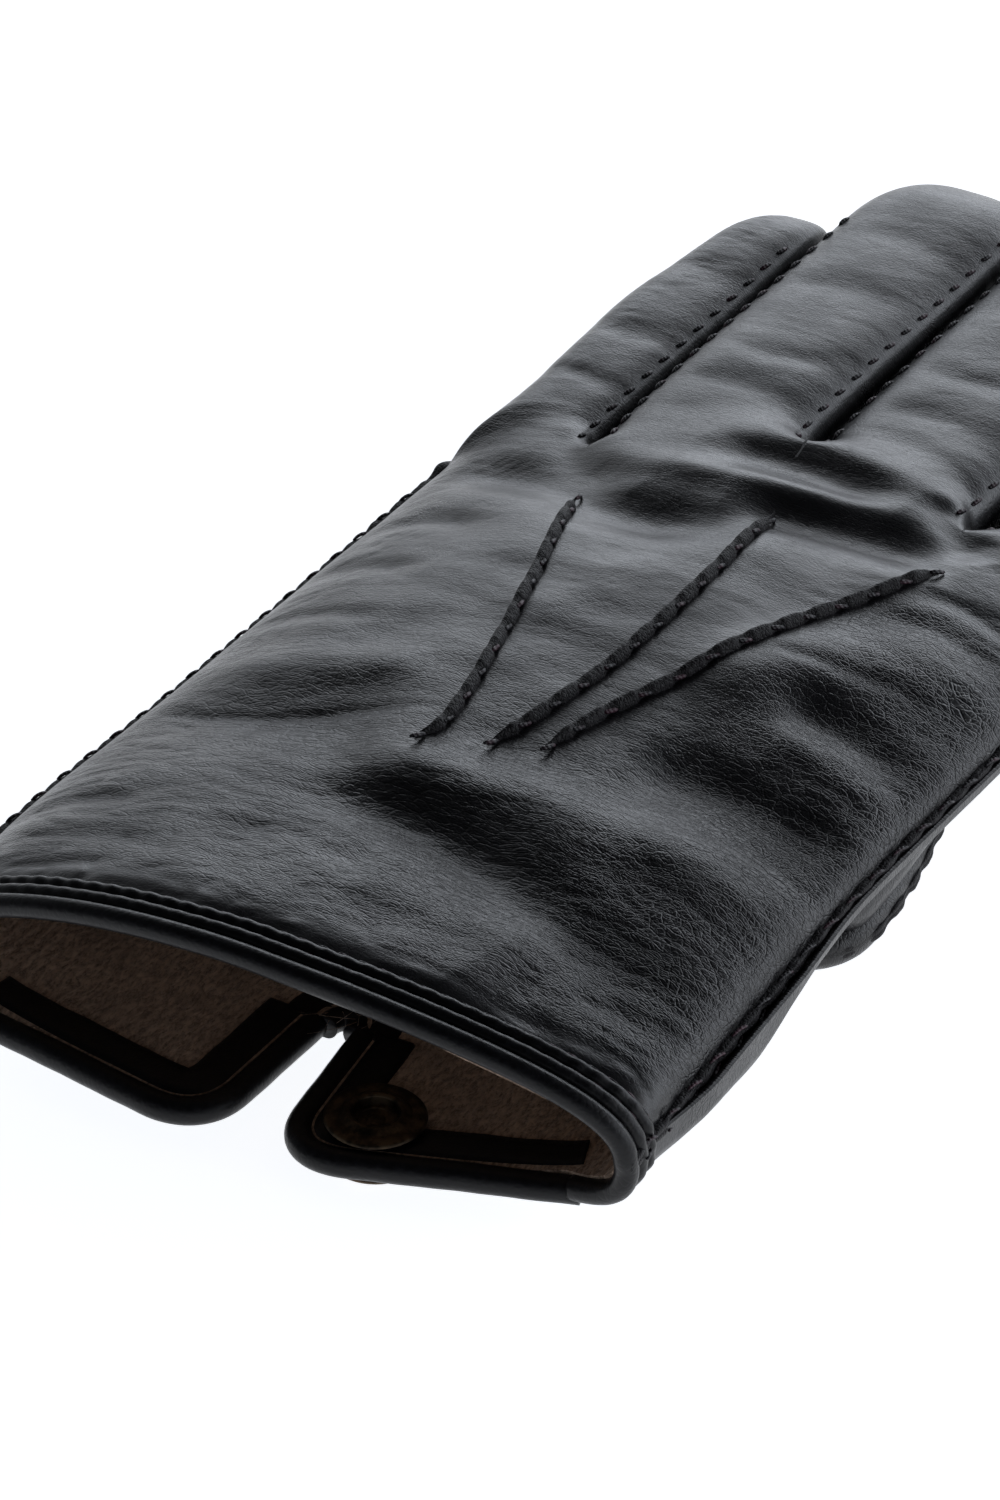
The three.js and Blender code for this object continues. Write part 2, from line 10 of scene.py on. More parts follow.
# %% Load the packed model
import bpy, bmesh, math
import numpy as np
from mathutils import Vector, Matrix


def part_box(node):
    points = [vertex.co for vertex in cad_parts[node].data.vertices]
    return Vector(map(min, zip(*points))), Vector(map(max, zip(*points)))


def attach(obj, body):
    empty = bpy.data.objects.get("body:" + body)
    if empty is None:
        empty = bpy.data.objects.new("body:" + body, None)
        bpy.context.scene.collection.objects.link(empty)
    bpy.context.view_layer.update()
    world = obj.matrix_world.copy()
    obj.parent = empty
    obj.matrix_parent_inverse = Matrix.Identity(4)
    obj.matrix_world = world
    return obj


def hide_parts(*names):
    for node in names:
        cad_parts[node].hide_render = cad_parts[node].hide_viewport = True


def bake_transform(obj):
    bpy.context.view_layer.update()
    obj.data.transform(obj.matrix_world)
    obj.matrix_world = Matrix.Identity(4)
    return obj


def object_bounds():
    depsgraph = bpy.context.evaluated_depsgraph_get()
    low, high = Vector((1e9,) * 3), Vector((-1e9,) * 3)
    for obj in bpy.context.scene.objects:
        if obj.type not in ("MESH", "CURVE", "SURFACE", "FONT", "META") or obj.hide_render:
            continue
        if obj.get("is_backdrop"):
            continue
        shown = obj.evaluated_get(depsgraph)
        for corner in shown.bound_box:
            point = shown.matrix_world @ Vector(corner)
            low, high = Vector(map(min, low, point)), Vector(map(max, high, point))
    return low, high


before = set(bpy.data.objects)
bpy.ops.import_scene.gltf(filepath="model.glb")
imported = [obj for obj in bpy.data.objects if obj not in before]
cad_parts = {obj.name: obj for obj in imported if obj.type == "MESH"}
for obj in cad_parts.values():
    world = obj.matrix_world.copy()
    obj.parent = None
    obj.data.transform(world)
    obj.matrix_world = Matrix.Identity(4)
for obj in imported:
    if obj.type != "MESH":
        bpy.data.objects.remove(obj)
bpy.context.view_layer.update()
cap_low, cap_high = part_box("snap_cap")
# The snap's cap is centred 13.2 mm across and 6.4 mm up from the back edge of the cuff.
SNAP = (13.2, 6.4)
SHIFT = np.array([500 * (cap_low[0] + cap_high[0]) - SNAP[0], 500 * (cap_low[1] + cap_high[1]) - SNAP[1], 0.0])
scene = bpy.context.scene

# %% [markdown]
# ## Camera and light
# The glove is seen from the wrist end, a little from its thumb side, about 35 degrees down, from
# three quarters of a metre away with a long lens. A long lens keeps the fingers in proportion.
# Black leather shows almost nothing but what it reflects, so the light is built for reflections.
# The sky is a bright band low behind the fingers, which the tops of the folds mirror. It falls
# off upwards, to the left and towards the viewer, so that slopes facing the viewer stay dark.
# Four weak panels add soft highlights. A sky is used rather than one huge lamp, because its
# brightness can change smoothly in every direction.

# %% Camera
def to_model(p):
    return (np.asarray(p, float) + SHIFT) / 1000

AROUND, DOWN, ROLL = math.radians(29.863), math.radians(35.016), math.radians(0.624)
LOOK_AT, DISTANCE, LENS = (-8.19, 70.94, 10.0), 0.76014, 150.44
forward = np.array([-math.sin(AROUND) * math.cos(DOWN), math.cos(AROUND) * math.cos(DOWN), -math.sin(DOWN)])
right0 = np.array([math.cos(AROUND), math.sin(AROUND), 0.0])
up0 = np.cross(right0, forward)
side = right0 * math.cos(ROLL) + up0 * math.sin(ROLL)
up = -right0 * math.sin(ROLL) + up0 * math.cos(ROLL)
eye = to_model(LOOK_AT) - forward * DISTANCE
camera_data = bpy.data.cameras.new("camera")
camera_data.lens = LENS
camera_data.sensor_width = 36
camera_data.clip_start = 0.01
camera = bpy.data.objects.new("camera", camera_data)
scene.collection.objects.link(camera)
turned_to = [[side[i], up[i], -forward[i], eye[i]] for i in range(3)]
camera.matrix_world = Matrix(turned_to + [[0, 0, 0, 1]])
scene.camera = camera
print("camera at", eye.round(3))

# %% [markdown]
# ## Mixing materials
# A material in Blender is a graph of nodes, and joining them one at a time takes many lines. So
# `Recipe` wraps the graph: each call adds one node, joins its inputs and gives back its output,
# and a finish then reads like a list of what a dyer would mix. Patterns are sized in millimetres.

# %% Small helpers for materials
class Recipe:
    """A material being mixed: each call adds one node and gives back its output."""
    def __init__(self, name, **settings):
        self.material = bpy.data.materials.new(name)
        self.material.use_nodes = True
        self.nodes, self.links = self.material.node_tree.nodes, self.material.node_tree.links
        self.nodes.clear()
        end = self.nodes.new("ShaderNodeOutputMaterial")
        self.shader = self.nodes.new("ShaderNodeBsdfPrincipled")
        self.links.new(self.shader.outputs[0], end.inputs[0])
        for key, value in settings.items():
            self.shader.inputs[key.replace("_", " ")].default_value = value
    def put(self, socket, value):
        if isinstance(value, bpy.types.NodeSocket):
            self.links.new(value, socket)
        elif value is not None:
            socket.default_value = value
    def node(self, kind, settings, inputs, output=0):
        n = self.nodes.new("ShaderNode" + kind)
        for key, value in settings.items():
            setattr(n, key, value)
        for key, value in inputs.items():
            self.put(n.inputs[key], value)
        return n.outputs[output]
    def place(self):
        return self.node("TexCoord", {}, {}, "Object")
    def per_mm(self, vector, x, y=None, z=None, turn=0.0):
        y = x if y is None else y
        z = x if z is None else z
        return self.node("Mapping", {"vector_type": "POINT"}, {"Vector": vector,
            "Scale": (1000 * x, 1000 * y, 1000 * z), "Rotation": (0, 0, turn)})
    def noise(self, vector, scale=1.0, detail=3.0, rough=0.5, output=0, warp=0.0):
        return self.node("TexNoise", {}, {"Vector": vector, "Scale": scale, "Detail": detail,
            "Roughness": rough, "Distortion": warp}, output)
    def cells(self, vector, feature="F1", scale=1.0, random=1.0, output=0):
        return self.node("TexVoronoi", {"feature": feature}, {"Vector": vector, "Scale": scale,
            "Randomness": random}, output)
    def math(self, what, a, b=None, c=None):
        n = self.nodes.new("ShaderNodeMath")
        n.operation = what
        for k, value in enumerate((a, b, c)):
            self.put(n.inputs[k], value)
        return n.outputs[0]
    def times(self, a, b):
        return self.math("MULTIPLY", a, b)
    def plus(self, a, b):
        return self.math("ADD", a, b)
    def rest_of(self, a):
        """What is left of 1."""
        return self.math("SUBTRACT", 1.0, a)
    def ramp(self, value, low, high, to_low=0.0, to_high=1.0):
        return self.node("MapRange", {"interpolation_type": "SMOOTHSTEP"}, {"Value": value,
            "From Min": low, "From Max": high, "To Min": to_low, "To Max": to_high})
    def blend(self, amount, a, b):
        n = self.nodes.new("ShaderNodeMix")
        n.data_type = "RGBA"
        self.put(n.inputs[0], amount)
        self.put(n.inputs[6], a)
        self.put(n.inputs[7], b)
        return n.outputs[2]
    def moved(self, vector, by, size):
        """The vector pushed about by a colour noise of `size` strength."""
        centred = self.node("VectorMath", {"operation": "SUBTRACT"}, {0: by, 1: (0.5, 0.5, 0.5)})
        scaled = self.node("VectorMath", {"operation": "SCALE"}, {0: centred, "Scale": size})
        return self.node("VectorMath", {"operation": "ADD"}, {0: vector, 1: scaled})
    def mark(self, name):
        return self.node("Attribute", {"attribute_name": name}, {}, "Fac")
    def relief(self, height, millimetres, under=None):
        return self.node("Bump", {}, {"Height": height, "Strength": 1.0,
            "Distance": millimetres / 1000, "Normal": under})
    def finish(self, **inputs):
        for key, value in inputs.items():
            self.put(self.shader.inputs[key.replace("_", " ")], value)
        return self.material

print("a Recipe has", len([m for m in vars(Recipe) if not m.startswith("_")]), "kinds of step")

# %% [markdown] ## Table, lamps and sky The table is one large plane, nearly white, that glows a
# little so that it stays white even in the glove's shadow.

# %% Table
table_mix = Recipe("white_table", Roughness=0.6, Emission_Color=(0.95, 0.97, 1.0, 1), Emission_Strength=0.95)
clouds = table_mix.noise(table_mix.per_mm(table_mix.place(), 0.02), 1.0, 2.0)
white = table_mix.blend(clouds, (0.90, 0.91, 0.93, 1), (0.94, 0.95, 0.97, 1))
table_paint = table_mix.finish(Base_Color=white)
bpy.ops.object.select_all(action="DESELECT")
bpy.ops.mesh.primitive_plane_add(size=6, location=(0, 0, -0.0002))
floor = bpy.context.object
floor.name = "table"
floor.data.materials.append(table_paint)
floor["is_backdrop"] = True
print("table, metres across:", round(floor.dimensions.x, 1))

# %% Lamps
def panel_light(name, place, size, power, colour, aim=(0.0, 0.0, 0.0)):
    data = bpy.data.lights.new(name, "AREA")
    data.shape, data.size, data.size_y = "RECTANGLE", size[0], size[1]
    data.energy, data.color = power, colour
    lamp = bpy.data.objects.new(name, data)
    scene.collection.objects.link(lamp)
    lamp.location = place
    lamp.rotation_euler = (Vector(aim) - Vector(place)).to_track_quat("-Z", "Y").to_euler()
    return lamp

panel_light("back_panel", (-0.75, 1.35, 0.62), (2.2, 0.7), 3, (0.93, 0.96, 1.0))
panel_light("left_panel", (-1.3, -0.1, 0.8), (1.2, 0.8), 0.4, (0.92, 0.95, 1.0))
panel_light("right_panel", (1.35, 0.5, 0.7), (1.0, 0.8), 1, (1.0, 0.97, 0.96))
panel_light("top_panel", (0.0, 0.1, 1.7), (1.4, 1.4), 0.1, (0.96, 0.98, 1.0))

# %% Sky
world = bpy.data.worlds.new("studio")
scene.world = world
world.use_nodes = True
sky = world.node_tree
direction = sky.nodes.new("ShaderNodeTexCoord").outputs["Generated"]
split = sky.nodes.new("ShaderNodeSeparateXYZ")
sky.links.new(direction, split.inputs[0])

def sky_ramp(axis, low, high, to_low, to_high):
    """A smooth change of brightness along one axis of the sky."""
    n = sky.nodes.new("ShaderNodeMapRange")
    n.interpolation_type = "SMOOTHSTEP"
    sky.links.new(split.outputs[axis], n.inputs["Value"])
    for key, value in (("From Min", low), ("From Max", high), ("To Min", to_low), ("To Max", to_high)):
        n.inputs[key].default_value = value
    return n.outputs[0]

level = sky_ramp(2, 0.16, 0.64, 2.7, 0.045)
for axis, low, high, dim in ((0, -0.78, -0.38, 0.13), (1, -0.40, 0.45, 0.18)):
    both = sky.nodes.new("ShaderNodeMath")
    both.operation = "MULTIPLY"
    sky.links.new(level, both.inputs[0])
    sky.links.new(sky_ramp(axis, low, high, dim, 1.0), both.inputs[1])
    level = both.outputs[0]
sky.links.new(level, sky.nodes["Background"].inputs[1])
sky.nodes["Background"].inputs[0].default_value = (0.87, 0.92, 1.0, 1)
scene.view_settings.view_transform = "Standard"
scene.view_settings.look = "None"
scene.view_settings.exposure = 0.0
print("the sky has", len(sky.nodes), "nodes")

# %% [markdown]
# ## The cutter's curves
# A glove's outline is a few widths and heights measured at stations along the hand, with smooth
# values in between. The same stations made the solid model, so every panel lands in its place.
# `along` joins the stations with Hermite curves, and works on whole arrays of points at once.

# %% Outline of the hand
STATIONS = [0, 25, 60, 95, 130]
EDGE_LEFT, EDGE_RIGHT = [-46, -48.8, -48.2, -47.6, -46.9], [46, 45, 45, 46.5, 47]
SEAM_LEFT, SEAM_RIGHT = [11.5, 11, 9.5, 8.5, 8], [12, 12.5, 14, 14, 12]
CROWN = [27, 25.5, 25, 23.5, 21]
HEM = 7.5

def along(stations, values, y):
    s, v, y = np.asarray(stations, float), np.asarray(values, float), np.asarray(y, float)
    n = len(s) - 1
    after, before = np.minimum(np.arange(n + 1) + 1, n), np.maximum(np.arange(n + 1) - 1, 0)
    slope = (v[after] - v[before]) / (s[after] - s[before])
    i = np.clip(np.searchsorted(s, y) - 1, 0, n - 1)
    h = s[i + 1] - s[i]
    t = np.clip((y - s[i]) / h, 0, 1)
    inside = ((2 * t**3 - 3 * t**2 + 1) * v[i] + (t**3 - 2 * t**2 + t) * h * slope[i]
              + (3 * t**2 - 2 * t**3) * v[i + 1] + (t**3 - t**2) * h * slope[i + 1])
    return inside + np.minimum(y - s[0], 0) * slope[0] + np.maximum(y - s[-1], 0) * slope[-1]

def mix(a, b, t):
    return a + (b - a) * t

def smooth(x, a, b):
    t = np.clip((np.asarray(x, float) - a) / (b - a), 0, 1)
    return t * t * (3 - 2 * t)

def power(x, n):
    return np.sign(x) * np.abs(x) ** n

def left(y):
    return along(STATIONS, EDGE_LEFT, y)

def right(y):
    return along(STATIONS, EDGE_RIGHT, y)

def seam_height(x, y):
    t = np.clip((x - left(y)) / (right(y) - left(y)), 0, 1)
    return mix(along(STATIONS, SEAM_LEFT, y), along(STATIONS, SEAM_RIGHT, y), t)

def back_height(x, y, inset=0.0):
    y = np.minimum(y, 134.0)
    l, r = left(y) + inset, right(y) - inset
    s = np.clip((2 * x - l - r) / (r - l), -1, 1)
    base = seam_height(x, y) + 0.15
    little_half = np.maximum(1 - np.abs(s) ** 1.95, 0) ** 0.60
    slope = np.where(s < 0, little_half, np.sqrt(np.maximum(1 - np.abs(s) ** 2.4, 0)))
    return base + (along(STATIONS, CROWN, y) - inset - base) * slope

def palm_height(x, y, inset=0.0):
    y = np.minimum(y, 134.0)
    l, r = left(y) + inset, right(y) - inset
    s = np.clip((2 * x - l - r) / (r - l), -1, 1)
    base = seam_height(x, y) - 0.15
    cuff = 2.4 * (1 - smooth(y, 22, 44))
    over_thumb = smooth(x, -12, 4) * smooth(y, 34, 50) * (1 - smooth(y, 111, 124))
    low = np.minimum(cuff + (9.4 - cuff) * over_thumb + inset, base - 0.2)
    return base - (base - low) * np.maximum(1 - np.abs(s) ** 6, 0) ** (1 / 3)

def hem_back(x):
    return 0.4 + np.where(x > 0, 5.6, 0.6) * (np.abs(x) / 46) ** 3

def hem_palm(x):
    return np.where(x > 0, mix(7, 6, (x - 37) / 9), mix(-0.4, 1, (-x - 37) / 9))

print("hand at the middle: width", float(right(60) - left(60)), "height", float(back_height(0.0, 60.0)))

# %% [markdown]
# ## Soft noise and listed folds
# Leather that has been worn keeps the folds of the hand. The big ones are listed one by one, each as
# a line on the back of the glove with a width and a height: a knuckle crease sinks, a pushed-up
# ridge stands. The small wrinkles between them are noise, stretched across the hand near the
# wrist, where leather always creases crosswise. Folds wider than 2 mm are real shape, so the
# outline and the highlights break on them. Anything finer is left to the material's relief.

# %% Soft noise
def bumps(x, y, size, seed):
    """Smooth bumps about `size` mm apart, between -1 and 1."""
    turn = np.random.default_rng(seed).uniform(0, 2 * np.pi, (256, 256))
    u, v = x / size, y / size
    i, j = np.floor(u).astype(int), np.floor(v).astype(int)
    fu, fv = u - i, v - j
    total = 0
    su, sv = fu**3 * (fu * (6 * fu - 15) + 10), fv**3 * (fv * (6 * fv - 15) + 10)
    for a in (0, 1):
        for b in (0, 1):
            w = turn[(i + a) % 256, (j + b) % 256]
            dot = np.cos(w) * (fu - a) + np.sin(w) * (fv - b)
            total = total + dot * (su if a else 1 - su) * (sv if b else 1 - sv)
    return total * 1.45

def ridged(x, y, size, seed):
    """Sharp creases between soft pillows: 1 on a pillow, 0 in a crease."""
    return np.minimum(np.abs(bumps(x, y, size, seed)) * 2.4, 1.0)

print("a bump at (3, 4) mm:", round(float(bumps(np.array(3.0), np.array(4.0), 10, 1)), 3))

# %% Lines, and how far the leather is from them
def curve(points, steps=8):
    """A smooth line through the points."""
    p = np.asarray(points, float)
    k = np.arange(len(p))
    t = np.linspace(0, len(p) - 1, (len(p) - 1) * steps + 1)
    return np.stack([along(k, p[:, m], t) for m in range(p.shape[1])], axis=1)

def near(x, y, line):
    """How far each point is from a line, and how far along it, from 0 to 1."""
    best, where = np.full(np.shape(x), 1e9), np.zeros(np.shape(x))
    n = len(line) - 1
    for k in range(n):
        (ax, ay), (bx, by) = line[k], line[k + 1]
        dx, dy = bx - ax, by - ay
        t = np.clip(((x - ax) * dx + (y - ay) * dy) / (dx * dx + dy * dy), 0, 1)
        d = np.hypot(x - ax - t * dx, y - ay - t * dy)
        closer = d < best
        best, where = np.where(closer, d, best), np.where(closer, (k + t) / n, where)
    return best, where

print("a fold's line of three points has", len(curve([(0, 0), (5, 1), (9, 0)])), "steps")

# %% Listed folds
# Each fold: its line on the back, its width, and its height (less than 0 is a crease).
FOLDS = [
    # the wrist's broad mound, the ridge above it and the valley between them
    ([(-52, 48), (-40, 47), (-30, 48), (-20, 51), (-10, 55)], 10.5, -1.5),
    ([(20, 13), (32, 11), (46, 11)], 13.0, -1.5),
    ([(-16, 43), (-6, 44), (6, 44), (20, 45), (34, 47), (46, 49)], 5.4, 1.2),
    ([(-18, 35), (-8, 35.5), (2, 34.5), (12, 32), (24, 29), (36, 27), (46, 27)], 5.2, -1.5),
    ([(-18, 25), (-8, 26), (3, 24)], 4.5, -0.6),
    # the thumb's side rises slowly from the wrist's ridge to a crest, with two hollows on the way
    ([(15, 60), (24, 60.5), (34, 59), (46, 57)], 6.5, -1.7),
    ([(12, 76), (20, 86), (30, 94), (46, 100)], 7.5, 1.7),
    ([(22, 63), (31, 64), (44, 63)], 3.6, -0.8), ([(26, 73), (34, 74.5), (45, 72)], 3.6, 0.7),
    ([(24, 80), (33, 81), (45, 80)], 3.6, -1.0),
    # the knuckles: a hollow before each finger's root
    ([(-46, 115), (-36, 116), (-26, 114), (-16, 111), (-5, 111), (6, 114)], 5.6, -1.9),
    ([(-33, 131), (-29, 125), (-24, 120), (-15, 117)], 3.6, -1.2),
    ([(-4, 119), (6, 120), (17, 121), (29, 123)], 4.8, -1.9),
    ([(20, 137), (23, 131), (30, 125)], 3.6, -1.3),
    ([(-14, 132), (-4, 132), (6, 131), (16, 130)], 4.4, -1.5),
    ([(-22, 124), (-12, 123.5), (-2, 125), (8, 126.5), (20, 129)], 3.0, 0.8),
    # sharp creases beside the little finger's seam
    ([(-49, 52), (-38, 48.5), (-28, 49.5), (-18, 53), (-8, 56.5)], 1.2, -0.42),
    ([(-42, 46), (-31, 46), (-21, 49)], 1.2, -0.2),
    ([(-44, 58), (-28, 60), (-14, 65)], 5.0, 0.9),
    ([(-47, 9), (-36, 10.5), (-24, 13)], 1.3, -0.3), ([(-48, 14), (-38, 17), (-28, 18), (-18, 17)], 1.5, -0.25),
    ([(-48, 22), (-39, 26), (-30, 27)], 1.8, -0.6), ([(-46, 72), (-36, 74), (-26, 73)], 2.0, -0.5),
    ([(-47, 86), (-38, 88), (-28, 86)], 2.6, -0.6), ([(-47, 98), (-37, 101), (-27, 100)], 2.2, -0.6),
    # creases that run to the thumb's side
    ([(24, 104), (33, 107), (42, 105)], 2.0, -0.4), ([(24, 112), (33, 114), (44, 111)], 1.8, -0.35),
    ([(16, 88), (27, 90), (38, 93)], 1.4, -0.25), ([(30, 20), (38, 22), (46, 25)], 1.6, -0.3),
    ([(26, 12), (35, 14), (45, 17)], 1.4, -0.25), ([(-12, 78), (-8, 88), (-8, 100)], 6.0, 0.5),
]

def fold_height(x, y, folds=FOLDS):
    x, y = np.broadcast_arrays(np.asarray(x, float), np.asarray(y, float))
    total = np.zeros(x.shape)
    for points, width, height in folds:
        line = curve(points, 4)
        low, high = line.min(axis=0) - 2.6 * width, line.max(axis=0) + 2.6 * width
        close = (x > low[0]) & (x < high[0]) & (y > low[1]) & (y < high[1])
        if close.any():
            d, t = near(x[close], y[close], line)
            ends = smooth(np.minimum(t, 1 - t), -0.05, 0.28)
            total[close] += height * ends * np.exp(-(d / width) ** 2)
    return total

print(len(FOLDS), "hand-laid folds, deepest", min(f[2] for f in FOLDS), "mm")

# %% Small wrinkles, and the dip at the hem
def wrinkle_height(x, y):
    """Small crosswise wrinkles, deepest at the wrist and beside the thumb."""
    wx, wy = x + 2.4 * bumps(x, y, 10, 3), y + 1.8 * bumps(x, y, 12, 4)
    wrist = 1 - smooth(y, 36, 74)
    edge = smooth(np.abs(x + 1.5), 26, 46)
    cross = smooth(ridged(wx / 4.6, wy, 2.9, 5), 0.0, 0.55) * 0.7
    cross = cross + 0.3 * smooth(ridged(wx / 3.0, wy + 40, 4.4, 6), 0, 0.5)
    slant = smooth(ridged((wx + wy) / 2.4, (wy - wx * 0.5), 3.8, 7), 0.0, 0.6)
    soft = bumps(x / 1.7, y, 8.0, 8) * 0.22 + bumps(x, y, 17.0, 9) * 0.40
    depth = 0.03 + 0.09 * wrist + 0.13 * edge
    return (cross - 1.0) * depth + (slant - 0.7) * 0.08 * edge + soft

def hem_dip(x, y):
    """The leather dips where the hem is sewn on, and puffs up beyond it."""
    above = y - hem_back(x)
    return 0.6 * (1 - smooth(above, 6.5, 9.5)) - 0.25 * np.exp(-((above - 12.5) / 3.0) ** 2)

print("the dip at the hem is", round(float(hem_dip(0.0, 5.0)), 2), "mm deep")

# %% [markdown]
# ## From grids to panels
# Each panel is a grid of points, one row after another, worked out by numpy and handed to
# Blender in one go. The grid is the outside face. Solidify then gives it the thickness of the
# leather, so every open edge has a real cut edge. Neighbouring panels are cut from one surface
# along the same row of points, and each takes its normals from that whole surface, which hides
# the cut from the light.

# %% Building a mesh from a grid
def grid_normals(P, around=False):
    """Normals of a grid (rows, columns, 3), from its neighbours on both sides."""
    along_rows = np.gradient(P, axis=0)
    if around:
        wide = np.concatenate([P[:, -1:], P, P[:, :1]], axis=1)
        along_columns = (wide[:, 2:] - wide[:, :-2]) / 2
    else:
        along_columns = np.gradient(P, axis=1)
    n = np.cross(along_columns, along_rows)
    return n / np.maximum(np.linalg.norm(n, axis=2, keepdims=True), 1e-12)

def grid_faces(rows, columns, around=False, start=0):
    r, c = np.meshgrid(np.arange(rows - 1), np.arange(columns if around else columns - 1), indexing="ij")
    c2 = (c + 1) % columns
    quads = np.stack([r * columns + c, r * columns + c2, (r + 1) * columns + c2, (r + 1) * columns + c], axis=2)
    return quads.reshape(-1, 4) + start

def make_mesh(name, points, faces):
    """A mesh object from points in glove millimetres. Faces may be quads and triangles."""
    mesh = bpy.data.meshes.new(name)
    mesh.from_pydata(to_model(points).tolist(), [], [list(map(int, f)) for part in faces for f in part])
    mesh.validate()
    mesh.polygons.foreach_set("use_smooth", [True] * len(mesh.polygons))
    piece = bpy.data.objects.new(name, mesh)
    scene.collection.objects.link(piece)
    return piece

print("a grid of 3 by 3 points has", len(grid_faces(3, 3)), "faces")

# %% [markdown]
# ## Marks for the materials
# A material can read a number or a place stored on each point, called an attribute. The leather
# reads how cracked it is, and where each point lay on the flat skin before it was sewn, so its
# grain follows the glove round the sides. Mapping it from above would smear it down the sides.

# %% Attributes on a piece
def write_mark(piece, name, values):
    """A number on every point, which a material reads by name."""
    mark = piece.data.attributes.new(name, "FLOAT", "POINT")
    full = np.zeros(len(piece.data.vertices))
    flat = np.asarray(values, float).ravel()
    full[:len(flat)] = flat
    # Solidify adds the inner face's points after the outer ones, in the same order.
    if len(full) >= 2 * len(flat):
        full[len(flat):2 * len(flat)] = flat
    mark.data.foreach_set("value", full)

def write_skin(piece, P, middle=None, start=0.0):
    """Where each point lies on the flat skin, in metres: round the piece, and along it."""
    P = np.asarray(P, float)
    if P.ndim == 3:
        step = np.linalg.norm(np.diff(P, axis=1), axis=2)
        u = np.concatenate([np.zeros((len(P), 1)), np.cumsum(step, axis=1)], axis=1)
        middle = P.shape[1] // 2 if middle is None else middle
        u = (u - u[:, middle:middle + 1] + start).ravel()
        v = P[..., 1].ravel()
    else:
        u, v = P[:, 0], P[:, 1]
    flat, n = np.zeros((len(piece.data.vertices), 3)), len(u)
    flat[:n, 0], flat[:n, 1] = u / 1000, v / 1000
    # The single point that closes a fingertip comes after the grid's own points.
    if len(flat) > n:
        flat[n] = [u[-1] / 1000, v[-1] / 1000, 0]
    half = len(flat) // 2
    if half >= n and len(flat) % 2 == 0 and len(flat) > n + 2:
        flat[half:] = flat[:half]
    skin = piece.data.attributes.new("skin", "FLOAT_VECTOR", "POINT")
    skin.data.foreach_set("vector", flat.ravel())
    return u.reshape(P.shape[:2]) if P.ndim == 3 else u

print("marks:", ["crosswise", "cracked", "skin"])

# %% [markdown]
# ## Thickness and finish
# Solidify makes a sheet as thick as its leather, and its modifier is applied at once, so that the
# shaded normals can be set on the finished mesh. `dress` then gives a piece its material and the
# body that it moves with.

# %% Thickness, finish and body
def apply_all(piece):
    bpy.ops.object.select_all(action="DESELECT")
    bpy.context.view_layer.objects.active = piece
    piece.select_set(True)
    for m in list(piece.modifiers):
        bpy.ops.object.modifier_apply(modifier=m.name)

def thicken(piece, millimetres, normals=None):
    """Gives an open grid the thickness of its leather, inwards."""
    s = piece.modifiers.new("thickness", "SOLIDIFY")
    s.thickness, s.offset = millimetres / 1000, -1.0
    apply_all(piece)
    if normals is not None:
        flat = normals.reshape(-1, 3)
        count = len(piece.data.vertices)
        own = np.zeros(count * 3)
        piece.data.vertices.foreach_get("normal", own)
        own = own.reshape(-1, 3)
        own[:len(flat)] = flat
        piece.data.normals_split_custom_set_from_vertices(own.tolist())
    else:
        bpy.ops.object.shade_smooth_by_angle(angle=math.radians(60))

def turn_outward(piece):
    """Makes every face of a closed shape point out."""
    made = bmesh.new()
    made.from_mesh(piece.data)
    bmesh.ops.recalc_face_normals(made, faces=made.faces)
    made.to_mesh(piece.data)
    made.free()
    return piece

def faces_of(piece):
    return sum(len(p.vertices) - 2 for p in piece.data.polygons)

def dress(piece, paint, body):
    """The finish, the moving body and the material slot of a piece."""
    piece.data.materials.clear()
    piece.data.materials.append(paint)
    if body:
        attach(piece, body)
    print(piece.name, faces_of(piece), "triangles")

SKIN = 0.8  # millimetres of leather
print("outer leather", SKIN, "mm thick")

# %% [markdown]
# ## One surface for the hand and the fingers
# The back of a glove and its fingers are one piece of leather, slit between the fingers, with
# narrow strips sewn into the slits. So one function gives the height anywhere, on the hand or on
# a finger: `blend_in` is 0 on the hand and grows to 1 past the crotch, where each finger has its
# own rounded section. A real finger bends at its root and the hand doesn't, so the surface is cut
# just before the crotches. The hand is one piece, and each finger is a sleeve that starts at the cut.

# %% Shape of the fingers
# Sides of the fingers, seen from above, as lines through (y, x).
SIDES = [
    [(119, -47.2), (127, -46.2), (139, -45.5), (149, -45.9), (169, -46.8), (182, -45.7), (202, -43.8)],
    [(126, -28.9), (150, -29.9), (201, -31.4)],
    [(134, -3.1), (141, -3.6), (150, -4.5), (201, -5.8)],
    [(132, 22.9), (160, 22.9), (213, 22.4)],
    [(122, 47.0), (150, 47.2), (180, 46.9), (213, 46.0)],
]
SLITS = [124.0, 127.5, 139.0, 133.3, 127.0]
# Each finger's tip along y, and its height at the root and at the tip.
DIGITS = {"little": (204.5, 15.5, 12.5), "ring": (222, 19, 14), "middle": (229, 19, 14), "index": (213, 17, 13.5)}
TIPS = [tip for tip, _, _ in DIGITS.values()]
ROOTS = np.array([-49.5, -28.9, -3.1, 22.9, 47.0])
HAND_WIDE = 96.5
ACROSS = 56

def side_line(k, y):
    pts = np.array(SIDES[k], float)
    return along(pts[:, 0], pts[:, 1], np.clip(y, pts[0, 0], pts[-1, 0]))

def steps_across(n):
    """Steps from -1 to 1, closer together towards both ends."""
    u = np.linspace(0, 1, n + 1)
    return -0.55 * np.cos(np.pi * u) + 0.45 * (2 * u - 1)

